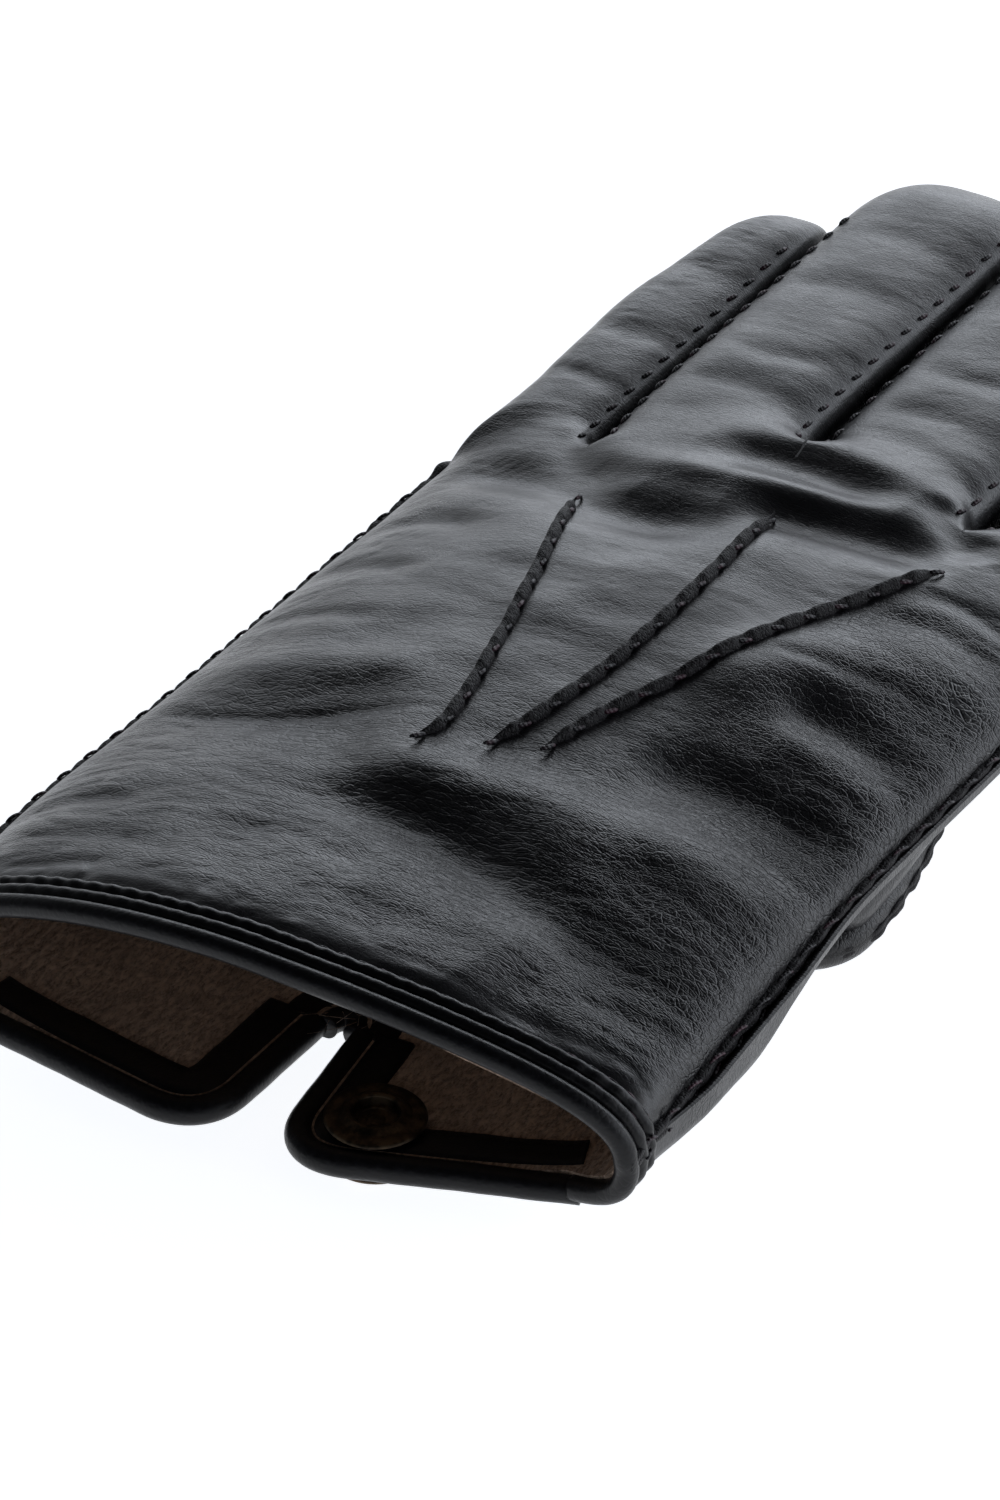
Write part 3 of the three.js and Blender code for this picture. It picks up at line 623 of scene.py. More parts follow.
def column_place(k, s):
    """Where a finger's column stands across the hand, from 0 to 1."""
    b = (ROOTS - ROOTS[0]) / HAND_WIDE
    return mix(b[k], b[k + 1], (s + 1) / 2)

def across_hand(x):
    """From -1 at the little finger's side to 1 at the forefinger's."""
    return np.clip((2 * x - left(130.0) - right(130.0)) / HAND_WIDE, -1, 1)

def cut_row(t):
    """Where the hand ends and the finger sleeves begin."""
    return along(ROOTS, [121.5, 125.5, 134.5, 131.5, 124.5], ROOTS[0] + HAND_WIDE * t)

print("finger tips at", TIPS, "mm")

# %% One surface, from the hand to the fingertips
FINGER_FOLDS = [
    ([(-48, 143), (-40, 145), (-31, 143)], 2.4, -0.6), ([(-49, 160), (-40, 158), (-32, 160)], 3.0, -0.5),
    ([(-48, 177), (-40, 179), (-33, 176)], 2.6, -0.5),
    ([(-28, 146), (-17, 149), (-6, 146)], 3.0, -0.7), ([(-29, 160), (-18, 158), (-7, 162)], 2.2, -0.45),
    ([(-29, 178), (-18, 181), (-8, 178)], 3.2, -0.6), ([(-28, 196), (-18, 198), (-9, 195)], 2.6, -0.4),
    ([(-3, 152), (8, 155), (20, 151)], 3.2, -0.7), ([(-4, 168), (8, 166), (20, 170)], 2.4, -0.5),
    ([(-4, 186), (8, 189), (20, 186)], 3.2, -0.6), ([(-3, 205), (8, 203), (19, 206)], 2.6, -0.4),
    ([(24, 142), (34, 145), (46, 142)], 3.0, -0.7), ([(24, 158), (35, 156), (46, 160)], 2.4, -0.5),
    ([(24, 175), (35, 178), (46, 175)], 3.0, -0.6), ([(24, 192), (35, 190), (45, 193)], 2.4, -0.4),
]

def surface(k, s, y, upper=True, inset=0.0):
    """Points of the hand or finger k: s is -1 to 1 across the finger, y along the glove."""
    tip, root_high, tip_high = list(DIGITS.values())[k]
    tip = tip - inset
    slit = mix(SLITS[k], SLITS[k + 1], (s + 1) / 2)
    reach = mix(12.0, 4.5, np.abs(s) ** 4)
    blend_in = smooth(y, slit - 1.5, slit - 1.5 + reach)
    move_in = smooth(y, slit - 4, slit + 8)
    t = column_place(k, s)
    hand_x = mix(left(np.minimum(y, 130)), right(np.minimum(y, 130)), t) - inset * power(2 * t - 1, 5)
    open_l = (0.32 + inset) * smooth(y, SLITS[k] - 1.5, SLITS[k] + 3) if k > 0 else inset
    open_r = (0.32 + inset) * smooth(y, SLITS[k + 1] - 1.5, SLITS[k + 1] + 3) if k < 3 else inset
    l, r = side_line(k, y) + open_l, side_line(k + 1, y) - open_r
    nearness = np.clip((tip - y) / (15 if k == 0 else 19), 0, 1)
    rounding = (1 - (1 - nearness) ** 2.4) ** (1 / 2.4)
    lean = (4.0 if k == 0 else 0.0) * (1 - rounding)
    x = mix(hand_x, (l + r) / 2 + s * (r - l) / 2 * rounding + lean, move_in)
    high = mix(root_high, tip_high, smooth(y, 124, tip))
    full = np.maximum(1 - np.abs(s) ** 3.2, 0) ** (1 / 3.2)
    tall = np.maximum(high / 2 - inset, 0.3) * rounding
    across = across_hand(x)
    if upper:
        z = mix(back_height(x, y, inset), high / 2 + 0.15 + tall * full, blend_in)
        soft_edge = mix(1 - np.abs(across) ** 10, 1 - np.abs(s) ** 4, blend_in) * rounding
        detail = fold_height(x, y) + mix(1.0, 0.45, blend_in) * wrinkle_height(x, y) - hem_dip(x, y)
        detail = detail + 0.5 * fold_height(x, y, FINGER_FOLDS) * smooth(y, 134, 142)
        if inset:
            detail = np.minimum(fold_height(x, y), 0)
        z = z + detail * np.maximum(soft_edge, 0)
    else:
        z = mix(palm_height(x, y, inset), high / 2 - 0.15 - (tall - 0.15) * full, blend_in)
        if not inset:
            # The palm's leather bulges out beyond the forefinger's seam.
            belly = smooth(across, 0.78, 0.95) * (1 - smooth(across, 0.972, 1.0))
            belly = belly * smooth(y, 8, 26) * (1 - smooth(y, 96, 120))
            x = x + mix(2.3, 1.3, smooth(y, 44, 62)) * belly
            quiet = np.maximum(1 - np.abs(across) ** 6, 0) * smooth(np.abs(z - 1), 0, 3)
            z = z + 0.5 * wrinkle_height(x, -y) * quiet
    return np.stack([x, y + 0 * x, z], axis=-1)

print("top of the middle finger:", round(float(surface(2, np.array(0.0), np.array(180.0))[2]), 1), "mm")

# %% Rows and columns of the hand
# The columns of the whole back, finger by finger, with the shared ones counted once.
COLUMNS = [(k, s) for k in range(4) for i, s in enumerate(steps_across(ACROSS)) if k == 0 or i > 0]

def hand_grid(rows, start, upper, inset=0.0, every=1):
    """Rows of points from `start` across to the cut, with one more row before and after."""
    columns = COLUMNS[::every]
    grid = np.zeros((rows + 3, len(columns), 3))
    v = np.linspace(0, 1, rows + 1)
    for c, (k, s) in enumerate(columns):
        t = column_place(k, s)
        y0, y1 = start(ROOTS[0] + HAND_WIDE * t), cut_row(t)
        y = mix(float(y0), float(y1), v)
        y = np.concatenate([[2 * y[0] - y[1]], y, [2 * y[-1] - y[-2]]])
        grid[:, c] = surface(k, s + 0 * y, y, upper, inset)
    return grid

print(len(COLUMNS), "columns across the hand")

# %% [markdown]
# ## Leather, thread, knit and brass
# Black glove leather is nearly black paint under a satin surface. What tells the eye that it is
# leather is the relief: fine wrinkle cells that run crosswise at the wrist, rounder cells where
# the skin was squeezed, and pores. Each is a cell pattern whose edges sink, at its own size in
# millimetres, and marks on the panels say where each one is strong. The edges sewn outward have
# been dyed and are smoother. The lining is a brushed rib knit, so it is rough with a soft sheen.

# %% Black leather
def leather_paint(name, shine=0.33, depth=0.075):
    """Satin black skin: `shine` is its roughness, `depth` the depth of its cracks in mm."""
    r = Recipe(name, Specular_IOR_Level=0.40)
    skin = r.node("Attribute", {"attribute_name": "skin"}, {}, "Vector")
    drift = r.noise(r.per_mm(skin, 0.09), 1.0, 1.0, output=1)
    where = r.moved(skin, drift, 0.0036)
    where = r.moved(where, r.noise(r.per_mm(skin, 0.6), 1.0, 1.0, output=1), 0.0006)
    crosswise, cracked = r.mark("crosswise"), r.mark("cracked")

    def crackle(x, y, wide, turn=0.0):
        flat = {"feature": "DISTANCE_TO_EDGE", "voronoi_dimensions": "2D"}
        place = r.per_mm(where, x, y, 1, turn)
        return r.ramp(r.node("TexVoronoi", flat, {"Vector": place, "Scale": 1.0}), 0.0, wide)

    lines, fine_lines = crackle(0.34, 1.25, 0.15, 0.08), crackle(0.9, 2.5, 0.24, -0.10)
    creases = r.node("TexWave", {"bands_direction": "Y", "wave_profile": "SAW"}, {
        "Vector": r.per_mm(where, 0.30, 1, 1), "Scale": 0.25, "Distortion": 6.0, "Detail": 3.0,
        "Detail Scale": 1.3, "Detail Roughness": 0.6})
    cells, small = crackle(0.55, 1.0, 0.12), crackle(1.3, 2.0, 0.22, 0.3)
    pores = r.noise(r.per_mm(skin, 2.6), 1.0, 3.0, 0.6)
    fine = r.plus(r.times(fine_lines, 0.2), r.times(creases, -0.75))
    cross = r.times(r.plus(r.times(lines, 0.35), fine), crosswise)
    crack = r.times(r.plus(r.times(cells, 0.7), r.times(small, 0.3)), cracked)
    base = r.plus(r.times(small, 0.10), r.times(pores, 0.10))
    height = r.plus(r.plus(cross, crack), base)
    soft = r.relief(r.noise(r.per_mm(where, 0.13, 0.30, 1), 1.0, 1.5, 0.45), 0.13)
    normal = r.relief(height, depth, soft)
    worn = r.noise(r.per_mm(skin, 0.09), 1.0, 4.0, 0.6)
    tone = r.blend(r.ramp(worn, 0.35, 0.70), (0.0030, 0.0029, 0.0040, 1), (0.0065, 0.0060, 0.0075, 1))
    # Painted shade: along the crack lines the colour is made nearly black, standing in for the shadow inside each
    # crack, and the roughness rises a little there too.
    crack_shade_mask = r.math("MINIMUM", r.plus(lines, r.rest_of(crosswise)), r.plus(cells, r.rest_of(cracked)))
    tone = r.blend(r.ramp(crack_shade_mask, 0.0, 0.8), (0.0012, 0.0011, 0.0014, 1), tone)
    rough = r.plus(r.ramp(worn, 0.3, 0.75, shine - 0.03, shine + 0.05), r.times(r.rest_of(crack_shade_mask), 0.05))
    return r.finish(Base_Color=tone, Roughness=rough, Normal=normal)

back_leather = leather_paint("black_sheepskin")
palm_leather = leather_paint("palm_sheepskin", 0.36, 0.07)
print("leathers:", back_leather.name, palm_leather.name)

# %% [markdown]
# ## Edges, thread, knit and brass
# A cut edge is duller and rougher than the skin, because the dye soaks into its fibres, and a
# rolled edge is smooth, because the skin is stretched round it. The waxed thread has plies that
# run aslant. The knit has ribs along the hand with a brushed nap. The brass has been darkened,
# and is rubbed lighter in patches.

# %% Dyed edges
def edge_paint(name, shine, depth, tint=(0.006, 0.006, 0.0075, 1), size=1.0):
    r = Recipe(name, Specular_IOR_Level=0.22)
    place = r.place()
    fine = r.noise(r.per_mm(place, 1.6 * size), 1.0, 4.0, 0.62)
    cells = r.ramp(r.cells(r.per_mm(place, 1.1 * size, 1.4 * size, 1.1 * size), "DISTANCE_TO_EDGE"), 0, 0.25)
    height = r.plus(r.times(fine, 0.6), r.times(cells, 0.4))
    tone = r.blend(r.ramp(fine, 0.35, 0.7), (0.0025, 0.0024, 0.003, 1), tint)
    rough = r.ramp(fine, 0.3, 0.7, shine - 0.06, shine + 0.07)
    return r.finish(Base_Color=tone, Roughness=rough, Normal=r.relief(height, depth))

roll_leather = edge_paint("rolled_edge_leather", 0.36, 0.03, (0.004, 0.004, 0.0055, 1))
raw_edge = edge_paint("raw_dyed_edge", 0.58, 0.16, (0.010, 0.008, 0.010, 1), 1.4)

print("edges:", roll_leather.name, raw_edge.name)

# %% Waxed thread
def thread_paint():
    r = Recipe("waxed_thread", Specular_IOR_Level=0.4)
    place = r.place()
    plies = r.node("TexWave", {"bands_direction": "DIAGONAL"}, {
        "Vector": r.per_mm(place, 1.0), "Scale": 0.9, "Distortion": 1.5})
    patch = r.noise(r.per_mm(place, 0.35), 1.0, 2.0)
    tone = r.blend(r.ramp(patch, 0.45, 0.65), (0.006, 0.005, 0.008, 1), (0.040, 0.012, 0.022, 1))
    return r.finish(Base_Color=tone, Roughness=r.ramp(plies, 0, 1, 0.45, 0.62), Normal=r.relief(plies, 0.06))

thread = thread_paint()
print("thread:", thread.name)

# %% Brushed knit
def knit_paint():
    r = Recipe("brushed_rib_knit", Specular_IOR_Level=0.1, Sheen_Weight=0.12, Sheen_Roughness=0.5)
    place = r.place()
    drift = r.moved(place, r.noise(r.per_mm(place, 0.25), 1.0, 2.0, output=1), 0.0016)
    rib = r.node("TexWave", {"bands_direction": "X"}, {"Vector": r.per_mm(drift, 1.0, 0.25, 0.4, turn=0.12),
        "Scale": 0.22, "Distortion": 0.8, "Detail": 2.0, "Detail Scale": 1.2})
    loops = r.noise(r.per_mm(drift, 1.9, 0.75, 1.4), 1.0, 4.0, 0.7)
    fuzz = r.noise(r.per_mm(place, 4.5, 2.0, 4.0), 1.0, 4.0, 0.75)
    patch = r.noise(r.per_mm(place, 0.10), 1.0, 3.0)
    height = r.plus(r.times(rib, 0.45), r.plus(r.times(loops, 0.5), r.times(fuzz, 0.4)))
    tone = r.blend(r.ramp(loops, 0.32, 0.68), (0.130, 0.086, 0.062, 1), (0.480, 0.350, 0.260, 1))
    tone = r.blend(r.ramp(fuzz, 0.40, 0.75, 0.0, 0.6), tone, (0.62, 0.48, 0.38, 1))
    tone = r.blend(r.ramp(patch, 0.4, 0.7, 0.0, 0.35), tone, (0.110, 0.075, 0.056, 1))
    return r.finish(Base_Color=tone, Roughness=r.ramp(fuzz, 0, 1, 0.85, 0.98), Normal=r.relief(height, 0.55))

knit = knit_paint()
print("lining:", knit.name)

# %% Antique brass
def brass_paint():
    r = Recipe("antique_brass", Metallic=1.0)
    place = r.place()
    smudge = r.noise(r.per_mm(place, 0.45), 1.0, 4.0, 0.65)
    scratch = r.noise(r.per_mm(place, 0.5, 6.0, 3.0, turn=0.6), 1.0, 3.0, 0.7)
    tone = r.blend(r.ramp(smudge, 0.38, 0.66), (0.030, 0.024, 0.019, 1), (0.110, 0.080, 0.052, 1))
    return r.finish(Base_Color=tone, Roughness=r.ramp(smudge, 0.3, 0.7, 0.32, 0.52), Normal=r.relief(scratch, 0.015))

brass = brass_paint()
print("finishes:", [m.name for m in (back_leather, palm_leather, roll_leather, raw_edge, thread, knit, brass)])

# %% [markdown]
# ## Back and palm of the hand
# The back runs from the rolled hem to the cut. It is the piece that everyone looks at, so its
# points are about half a millimetre apart. The palm is quieter, with a coarser grid. Each point
# also gets two marks for the leather: how strong the crosswise lines are, and how cracked it is.

# %% Back of the hand
def leather_marks(piece, x, y):
    """Crosswise lines at the wrist and over the fingers, cracked cells at the edges."""
    clouds = bumps(x, y, 14, 21) * 0.5 + bumps(x, y, 6, 22) * 0.25
    wrist = 1 - smooth(y, 45, 95)
    toward_thumb = smooth(x, 8, 40) * smooth(y, 8, 30) * (1 - smooth(y, 100, 122))
    toward_little = (1 - smooth(x, -48, -34)) * 0.7
    cracked = np.clip(0.95 * np.maximum(toward_thumb, toward_little) + clouds * 0.5, 0, 1)
    crosswise = np.clip(0.30 + 0.75 * wrist + clouds * 0.45 - 0.5 * cracked, 0, 1.1)
    near_hem = smooth(y - hem_back(x), 8.5, 14.5)
    finger = smooth(y, 118, 140)
    write_mark(piece, "crosswise", mix(crosswise, 0.22 + 0.3 * clouds, finger) * (0.10 + 0.90 * near_hem))
    write_mark(piece, "cracked", mix(cracked, 0.12 + 0.3 * np.clip(clouds, 0, 1), finger) * near_hem)

back = hand_grid(196, lambda x: hem_back(x) + 6.3, True)
shown = back[1:-1]
back_of_hand = make_mesh("back_of_hand", shown.reshape(-1, 3), [grid_faces(*shown.shape[:2])])
thicken(back_of_hand, SKIN, grid_normals(back)[1:-1])
leather_marks(back_of_hand, shown[..., 0], shown[..., 1])
hand_skin = write_skin(back_of_hand, shown)
dress(back_of_hand, back_leather, "hand")
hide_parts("back_leather")

# %% [markdown]
# The palm is cut away at the vent. A flap is only held at its hem and at the vent's apex, so its
# fold is the line between those two, and the palm's first row follows both fold lines. Its faces
# have to look down, so its columns are taken in the other order.

# %% Palm of the hand
FLAPS = {
    "left": dict(hem=(-37, -0.6), corner=(-2.8, -4.8), apex=(-1.5, 23), fold=(-37, 7.1)),
    "right": dict(hem=(37, 7.0), corner=(4.4, -5.2), apex=(1.5, 23), fold=(37, 14.5)),
}

def palm_start(x):
    """The palm begins at the hem beside each flap, and between them at the flaps' fold lines."""
    x = float(x)
    if abs(x) > 37:
        return float(hem_palm(x)) + 7.0
    f = FLAPS["left" if x < 0 else "right"]
    t = min((x - f["fold"][0]) / (f["apex"][0] - f["fold"][0]), 1.0)
    return mix(f["fold"][1], f["apex"][1], t) + 0.1

palm = hand_grid(100, palm_start, False)[:, ::-1]
shown = palm[1:-1]
palm_of_hand = make_mesh("palm_of_hand", shown.reshape(-1, 3), [grid_faces(*shown.shape[:2])])
thicken(palm_of_hand, SKIN, grid_normals(palm)[1:-1])
leather_marks(palm_of_hand, shown[..., 0], shown[..., 1])
write_skin(palm_of_hand, shown, start=300.0)
dress(palm_of_hand, palm_leather, "hand")
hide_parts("palm_leather")

# %% [markdown] ## Fingers Each finger is one sleeve from the cut to its tip: the back, a short
# wall, the palm side and the other wall, as the four strips of leather are on the real finger.
# Rows get closer towards the tip, where the sleeve rounds off into a single point.

# %% Finger sleeves
BENDS = {"little": (126, 141), "ring": (134, 150), "middle": (135, 151), "index": (131, 146)}
STRIPS = {"little": ["inner"], "ring": ["outer", "inner"], "middle": ["outer", "inner"], "index": ["outer"]}

def finger_loops(k, rows, inset=0.0, across=ACROSS):
    """Closed rows round finger k, from just before the cut to just before the tip."""
    s = steps_across(across)
    tip = TIPS[k] - inset
    y0 = cut_row(column_place(k, s))
    v = 1 - (1 - np.linspace(0, 0.993, rows)) ** 1.35
    v = np.concatenate([[-v[1]], v])
    y = y0[None, :] + (tip - y0[None, :]) * v[:, None]
    S = s[None, :] + 0 * y
    top, low = surface(k, S, y, True, inset), surface(k, S, y, False, inset)[:, ::-1]
    wall_a = [mix(top[:, -1], low[:, 0], q)[:, None] for q in (0.25, 0.5, 0.75)]
    wall_b = [mix(low[:, -1], top[:, 0], q)[:, None] for q in (0.25, 0.5, 0.75)]
    return np.concatenate([top] + wall_a + [low] + wall_b, axis=1)

def close_tip(shown):
    """Faces of the sleeve with its last row drawn into one point."""
    rows, columns = shown.shape[:2]
    tip = shown[-1].mean(axis=0)
    points = np.concatenate([shown.reshape(-1, 3), tip[None]])
    last = (rows - 1) * columns
    fan = [(last + c, last + (c + 1) % columns, rows * columns) for c in range(columns)]
    return points, [grid_faces(rows, columns, True), fan]

for k, name in enumerate(DIGITS):
    loops = finger_loops(k, 150)
    shown = loops[1:]
    points, faces = close_tip(shown)
    finger = make_mesh(name + "_finger", points, faces)
    thicken(finger, SKIN, grid_normals(loops, True)[1:])
    leather_marks(finger, points[:, 0], points[:, 1])
    write_skin(finger, shown, ACROSS // 2, hand_skin[-1, k * ACROSS + ACROSS // 2])
    dress(finger, back_leather, None)
    a, b = BENDS[name]
    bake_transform(finger)
    strips = [name + "_fourchette_" + which for which in STRIPS[name]]
    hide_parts(name + "_back_leather", name + "_palm_leather", *strips)
    loops = finger_loops(k, 50, 1.5, 16)[1:]
    points, faces = close_tip(loops)
    sleeve = make_mesh(name + "_finger_lining", points, faces)
    thicken(sleeve, 0.8)
    dress(sleeve, knit, None)
    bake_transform(sleeve)
    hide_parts(name + "_lining")

# %% [markdown]
# ## Thumb
# The thumb is folded flat under the palm, so only its outer edge shows. It is a sleeve too,
# rounded off at both ends, with a strip of leather along its outer side that joins it to the
# palm.

# %% Thumb sleeve
THUMB_ENDS = (57.0, 114.0)
THUMB_STATIONS = [56, 75, 92, 105, 114]
THUMB_MIDDLE, THUMB_HALF = [30.5, 30, 27.5, 24, 21], [14.5, 14.5, 14, 13.5, 13]
THUMB_HEIGHT = 4.3

def smooth_end(d, over):
    """Rounds a sleeve off over its last millimetres: 0 at the end, 1 past `over`."""
    t = np.clip(d / over, 0, 1)
    return (1 - (1 - t) ** 2.4) ** (1 / 2.4)

def thumb_close(y, inset=0.0):
    low, high = THUMB_ENDS[0] + inset, THUMB_ENDS[1] - inset
    return np.minimum(smooth_end(y - low, 12), smooth_end(high - y, 16))

def thumb_loops(rows, inset=0.0, around=72):
    v = (1 - np.cos(np.pi * np.linspace(0.02, 0.98, rows))) / 2
    y = mix(THUMB_ENDS[0] + inset, THUMB_ENDS[1] - inset, v)[:, None] + np.zeros((1, around))
    phi = -np.linspace(0, 2 * np.pi, around, endpoint=False)[None, :] + 0 * y
    close = thumb_close(y, inset)
    middle = along(THUMB_STATIONS, THUMB_MIDDLE, y)
    half = along(THUMB_STATIONS, THUMB_HALF, y) - inset
    x = middle + half * close * power(np.cos(phi), 2 / 2.8)
    z = THUMB_HEIGHT + (4.25 - inset) * close * power(np.sin(phi), 2 / 2.6)
    if not inset:
        z = z + 0.35 * wrinkle_height(x, y * 1.1) * np.abs(np.sin(phi)) * close
    return np.stack([x, y, z], axis=-1)

def close_both(shown):
    """Faces of a tube with its first and last rows each drawn into one point."""
    rows, columns = shown.shape[:2]
    first, last = shown[0].mean(axis=0), shown[-1].mean(axis=0)
    points = np.concatenate([shown.reshape(-1, 3), first[None], last[None]])
    n, end = rows * columns, (rows - 1) * columns
    first_fan = [((c + 1) % columns, c, n) for c in range(columns)]
    last_fan = [(end + c, end + (c + 1) % columns, n + 1) for c in range(columns)]
    return points, [grid_faces(rows, columns, True), first_fan + last_fan]

loops = thumb_loops(90)
points, faces = close_both(loops)
thumb = make_mesh("thumb", points, faces)
write_skin(thumb, loops, start=500.0)
leather_marks(thumb, points[:, 0], points[:, 1] + 20)
dress(thumb, palm_leather, "thumb")
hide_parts("thumb_leather")
points, faces = close_both(thumb_loops(30, 1.5, 32))
thumb_lining = make_mesh("thumb_lining_sleeve", points, faces)
dress(thumb_lining, knit, "thumb")
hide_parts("thumb_lining")

# %% [markdown]
# ## Sweeping a section along a line
# Hems, bindings, raised points and outward seams are all one section carried along a line. Each
# place on the line has a point and two directions, and the section may change as it goes, which
# is how a stitch pinches the leather. A thread is the same idea, tiny: a short arch whose two
# ends dive into the leather.

# %% Sweep and stitch helpers
def unit(v):
    return v / np.maximum(np.linalg.norm(v, axis=-1, keepdims=True), 1e-12)

def swept(name, P, A, B, section):
    """A closed tube: section is (places, corners, 2), measured along A and B."""
    grid = P[:, None] + A[:, None] * section[..., :1] + B[:, None] * section[..., 1:]
    return turn_outward(make_mesh(name, *close_both(grid)))

def stitches(name, centres, ways, outs, length, thick, rise=0.25, lean=0.0):
    """Many short threads in one mesh, each an arch of six-sided rings."""
    centres, ways, outs = np.asarray(centres), unit(np.asarray(ways)), unit(np.asarray(outs))
    sides = np.cross(ways, outs)
    u = np.linspace(-1, 1, 6)
    w = np.arange(6) / 6 * 2 * np.pi
    points, quads = [], []
    for c, (p, d, n, s) in enumerate(zip(centres, ways, outs, sides)):
        d = unit(d + s * lean)
        s = np.cross(d, n)
        line = p + d * (u[:, None] * length / 2) + n * ((1 - u**2)[:, None] * rise * 2 - rise * 0.7)
        size = thick / 2 * (1 - 0.45 * u**4)
        round_it = s * np.cos(w)[:, None] + n * np.sin(w)[:, None] * 0.85
        rings = line[:, None] + round_it[None] * size[:, None, None]
        start = c * 36
        points.append(rings.reshape(-1, 3))
        quads.append(grid_faces(6, 6, True, start))
        quads.append(start + np.array([[5, 4, 3, 2], [5, 2, 1, 0], [30, 31, 32, 33], [30, 33, 34, 35]]))
    return turn_outward(make_mesh(name, np.concatenate(points), quads))

def run_of(P):
    """How far along a line each of its points is."""
    return np.concatenate([[0], np.cumsum(np.linalg.norm(np.diff(P, axis=0), axis=1))])

def sampled(V, run, places):
    """The rows of V at other places along the same line."""
    return np.stack([np.interp(places, run, V[:, m]) for m in range(V.shape[1])], axis=1)

def evened(P, step):
    """The same line with points `step` mm apart."""
    run = run_of(P)
    return sampled(P, run, np.linspace(0, run[-1], int(run[-1] / step) + 1))

def steps_along(P, pitch, start=0.0, end=0.0):
    """Points every `pitch` mm along a line, the line's direction there, and how far along they are."""
    run = run_of(P)
    places = np.arange(start + pitch / 2, run[-1] - end, pitch)
    return sampled(P, run, places), sampled(unit(np.gradient(P, axis=0)), run, places), places

def same(direction, count):
    return np.tile(np.asarray(direction, float), (count, 1))

def wobble(travel, size, seed, row=0):
    """Soft unevenness along a line, in bumps about `size` mm long."""
    return bumps(travel, 0 * travel + row, size, seed)

print("an arch of thread has", len(grid_faces(6, 6, True)), "side faces")

# %% [markdown]
# ## Lining
# The knit lining is one sleeve just inside the leather, open at the cuff, where everybody sees
# it. On the palm side it stops at the flaps' fold lines, and each flap carries its own lining.

# %% Lining of the hand
def low_start(x):
    return palm_start(x) - (0.0 if abs(float(x)) < 37 else 4.5)

top = hand_grid(70, lambda x: hem_back(x) + 2.2, True, 1.55, 2)[1:-1]
low = hand_grid(70, low_start, False, 1.45, 2)[1:-1, ::-1]
tube = np.concatenate([top, low], axis=1)
hand_lining = make_mesh("hand_lining", tube.reshape(-1, 3), [grid_faces(tube.shape[0], tube.shape[1], True)])
thicken(hand_lining, 0.9)
dress(hand_lining, knit, "hand")
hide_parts("back_lining", "palm_lining")

# %% [markdown]
# ## Rolled hem
# The cuff is finished with a folded strip, topstitched twice, which leaves three soft rolls side
# by side. The section is drawn as arcs, thick at the edge roll, which turns right round to the
# inside. The two rows of stitches pinch the grooves a little, every two or three millimetres.

# %% Cuff hem
HEM_STEP, HEM_STITCH = 0.45, 2.6

def cuff_line(count, inset):
    """The cuff's edge, from under the left flap's corner over the back to under the right one's."""
    under = 26
    a = np.sin(np.pi / 2 * np.arange(under) / under)
    xl = mix(FLAPS["left"]["hem"][0] - 0.6, float(left(3)) + inset, a)
    xr = mix(FLAPS["right"]["hem"][0] + 0.6, float(right(3)) - inset, a)
    s = -np.cos(np.pi * np.arange(count + 1) / count)
    xb = mix(float(left(3)) + inset, float(right(3)) - inset, (s + 1) / 2)
    part = lambda x, h, y: np.stack([x, y(x), h(x, 3.0, inset)], axis=1)
    under_left, under_right = part(xl, palm_height, hem_palm), part(xr, palm_height, hem_palm)
    return np.concatenate([under_left, part(xb, back_height, hem_back), under_right[::-1]])

def arc(cy, cz, r, start, end, n, squash=1.0):
    w = np.radians(np.linspace(start, end, n))
    return np.stack([cy + r * np.cos(w), cz + r * squash * np.sin(w)], axis=1)

path = evened(cuff_line(120, 0.8), HEM_STEP)
for _ in range(3):
    path[1:-1] = (path[:-2] + 2 * path[1:-1] + path[2:]) / 4
way = unit(np.gradient(path, axis=0) * [1, 0, 1])
out = np.stack([-way[:, 2], 0 * way[:, 0], way[:, 0]], axis=1)
travel = np.arange(len(path)) * HEM_STEP
hem_section = np.concatenate([
    [(3.5, -1.0), (0.0, -1.15)], arc(-2.25, -0.05, 1.42, -95, -275, 12), arc(-2.25, -0.05, 1.42, 80, 48, 3),
    [(-0.98, 0.42)], arc(0.10, 0.42, 0.98, 165, 15, 8, 0.95),
    [(1.18, 0.36)], arc(2.20, 0.36, 0.90, 165, 15, 8, 0.95), [(3.25, 0.12), (3.6, -0.2)]])
pinch = 0.5 + 0.5 * np.cos(2 * np.pi * travel / HEM_STITCH)
uneven = wobble(travel, 11, 31) * 0.10 + wobble(travel, 3.2, 32) * 0.05
section = np.repeat(hem_section[None], len(path), axis=0)
upper_roll = (section[..., 0] > 1.15) & (section[..., 1] > 0.3)
middle_roll = (section[..., 0] > -1.0) & (section[..., 0] < 1.2) & (section[..., 1] > 0.3)
upper_lift = np.where(upper_roll, (uneven - 0.16 * pinch)[:, None], 0)
middle_lift = np.where(middle_roll, (uneven * 0.8 - 0.07 * pinch)[:, None], 0)
section[..., 1] += upper_lift + middle_lift
section[..., 0] += (wobble(travel, 14, 33, 5) * 0.12)[:, None]
middle_line = path + [0, HEM / 2, 0]
cuff_hem = swept("rolled_cuff_hem", middle_line, same([0, 1, 0], len(path)), out, section)
dress(cuff_hem, roll_leather, "hand")
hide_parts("cuff_hem")
for label, across_hem, height in (("upper", 3.36, 0.16), ("lower", 1.17, 0.40)):
    line = middle_line + [0, across_hem, 0] + out * height
    c, d, places = steps_along(line, HEM_STITCH, 2, 2)
    o = sampled(out, np.linspace(0, places[-1] + 3.3, len(out)), places)
    row = stitches("hem_stitches_" + label, c, d, o, 2.0, 0.36, 0.10)
    dress(row, thread, "hand")
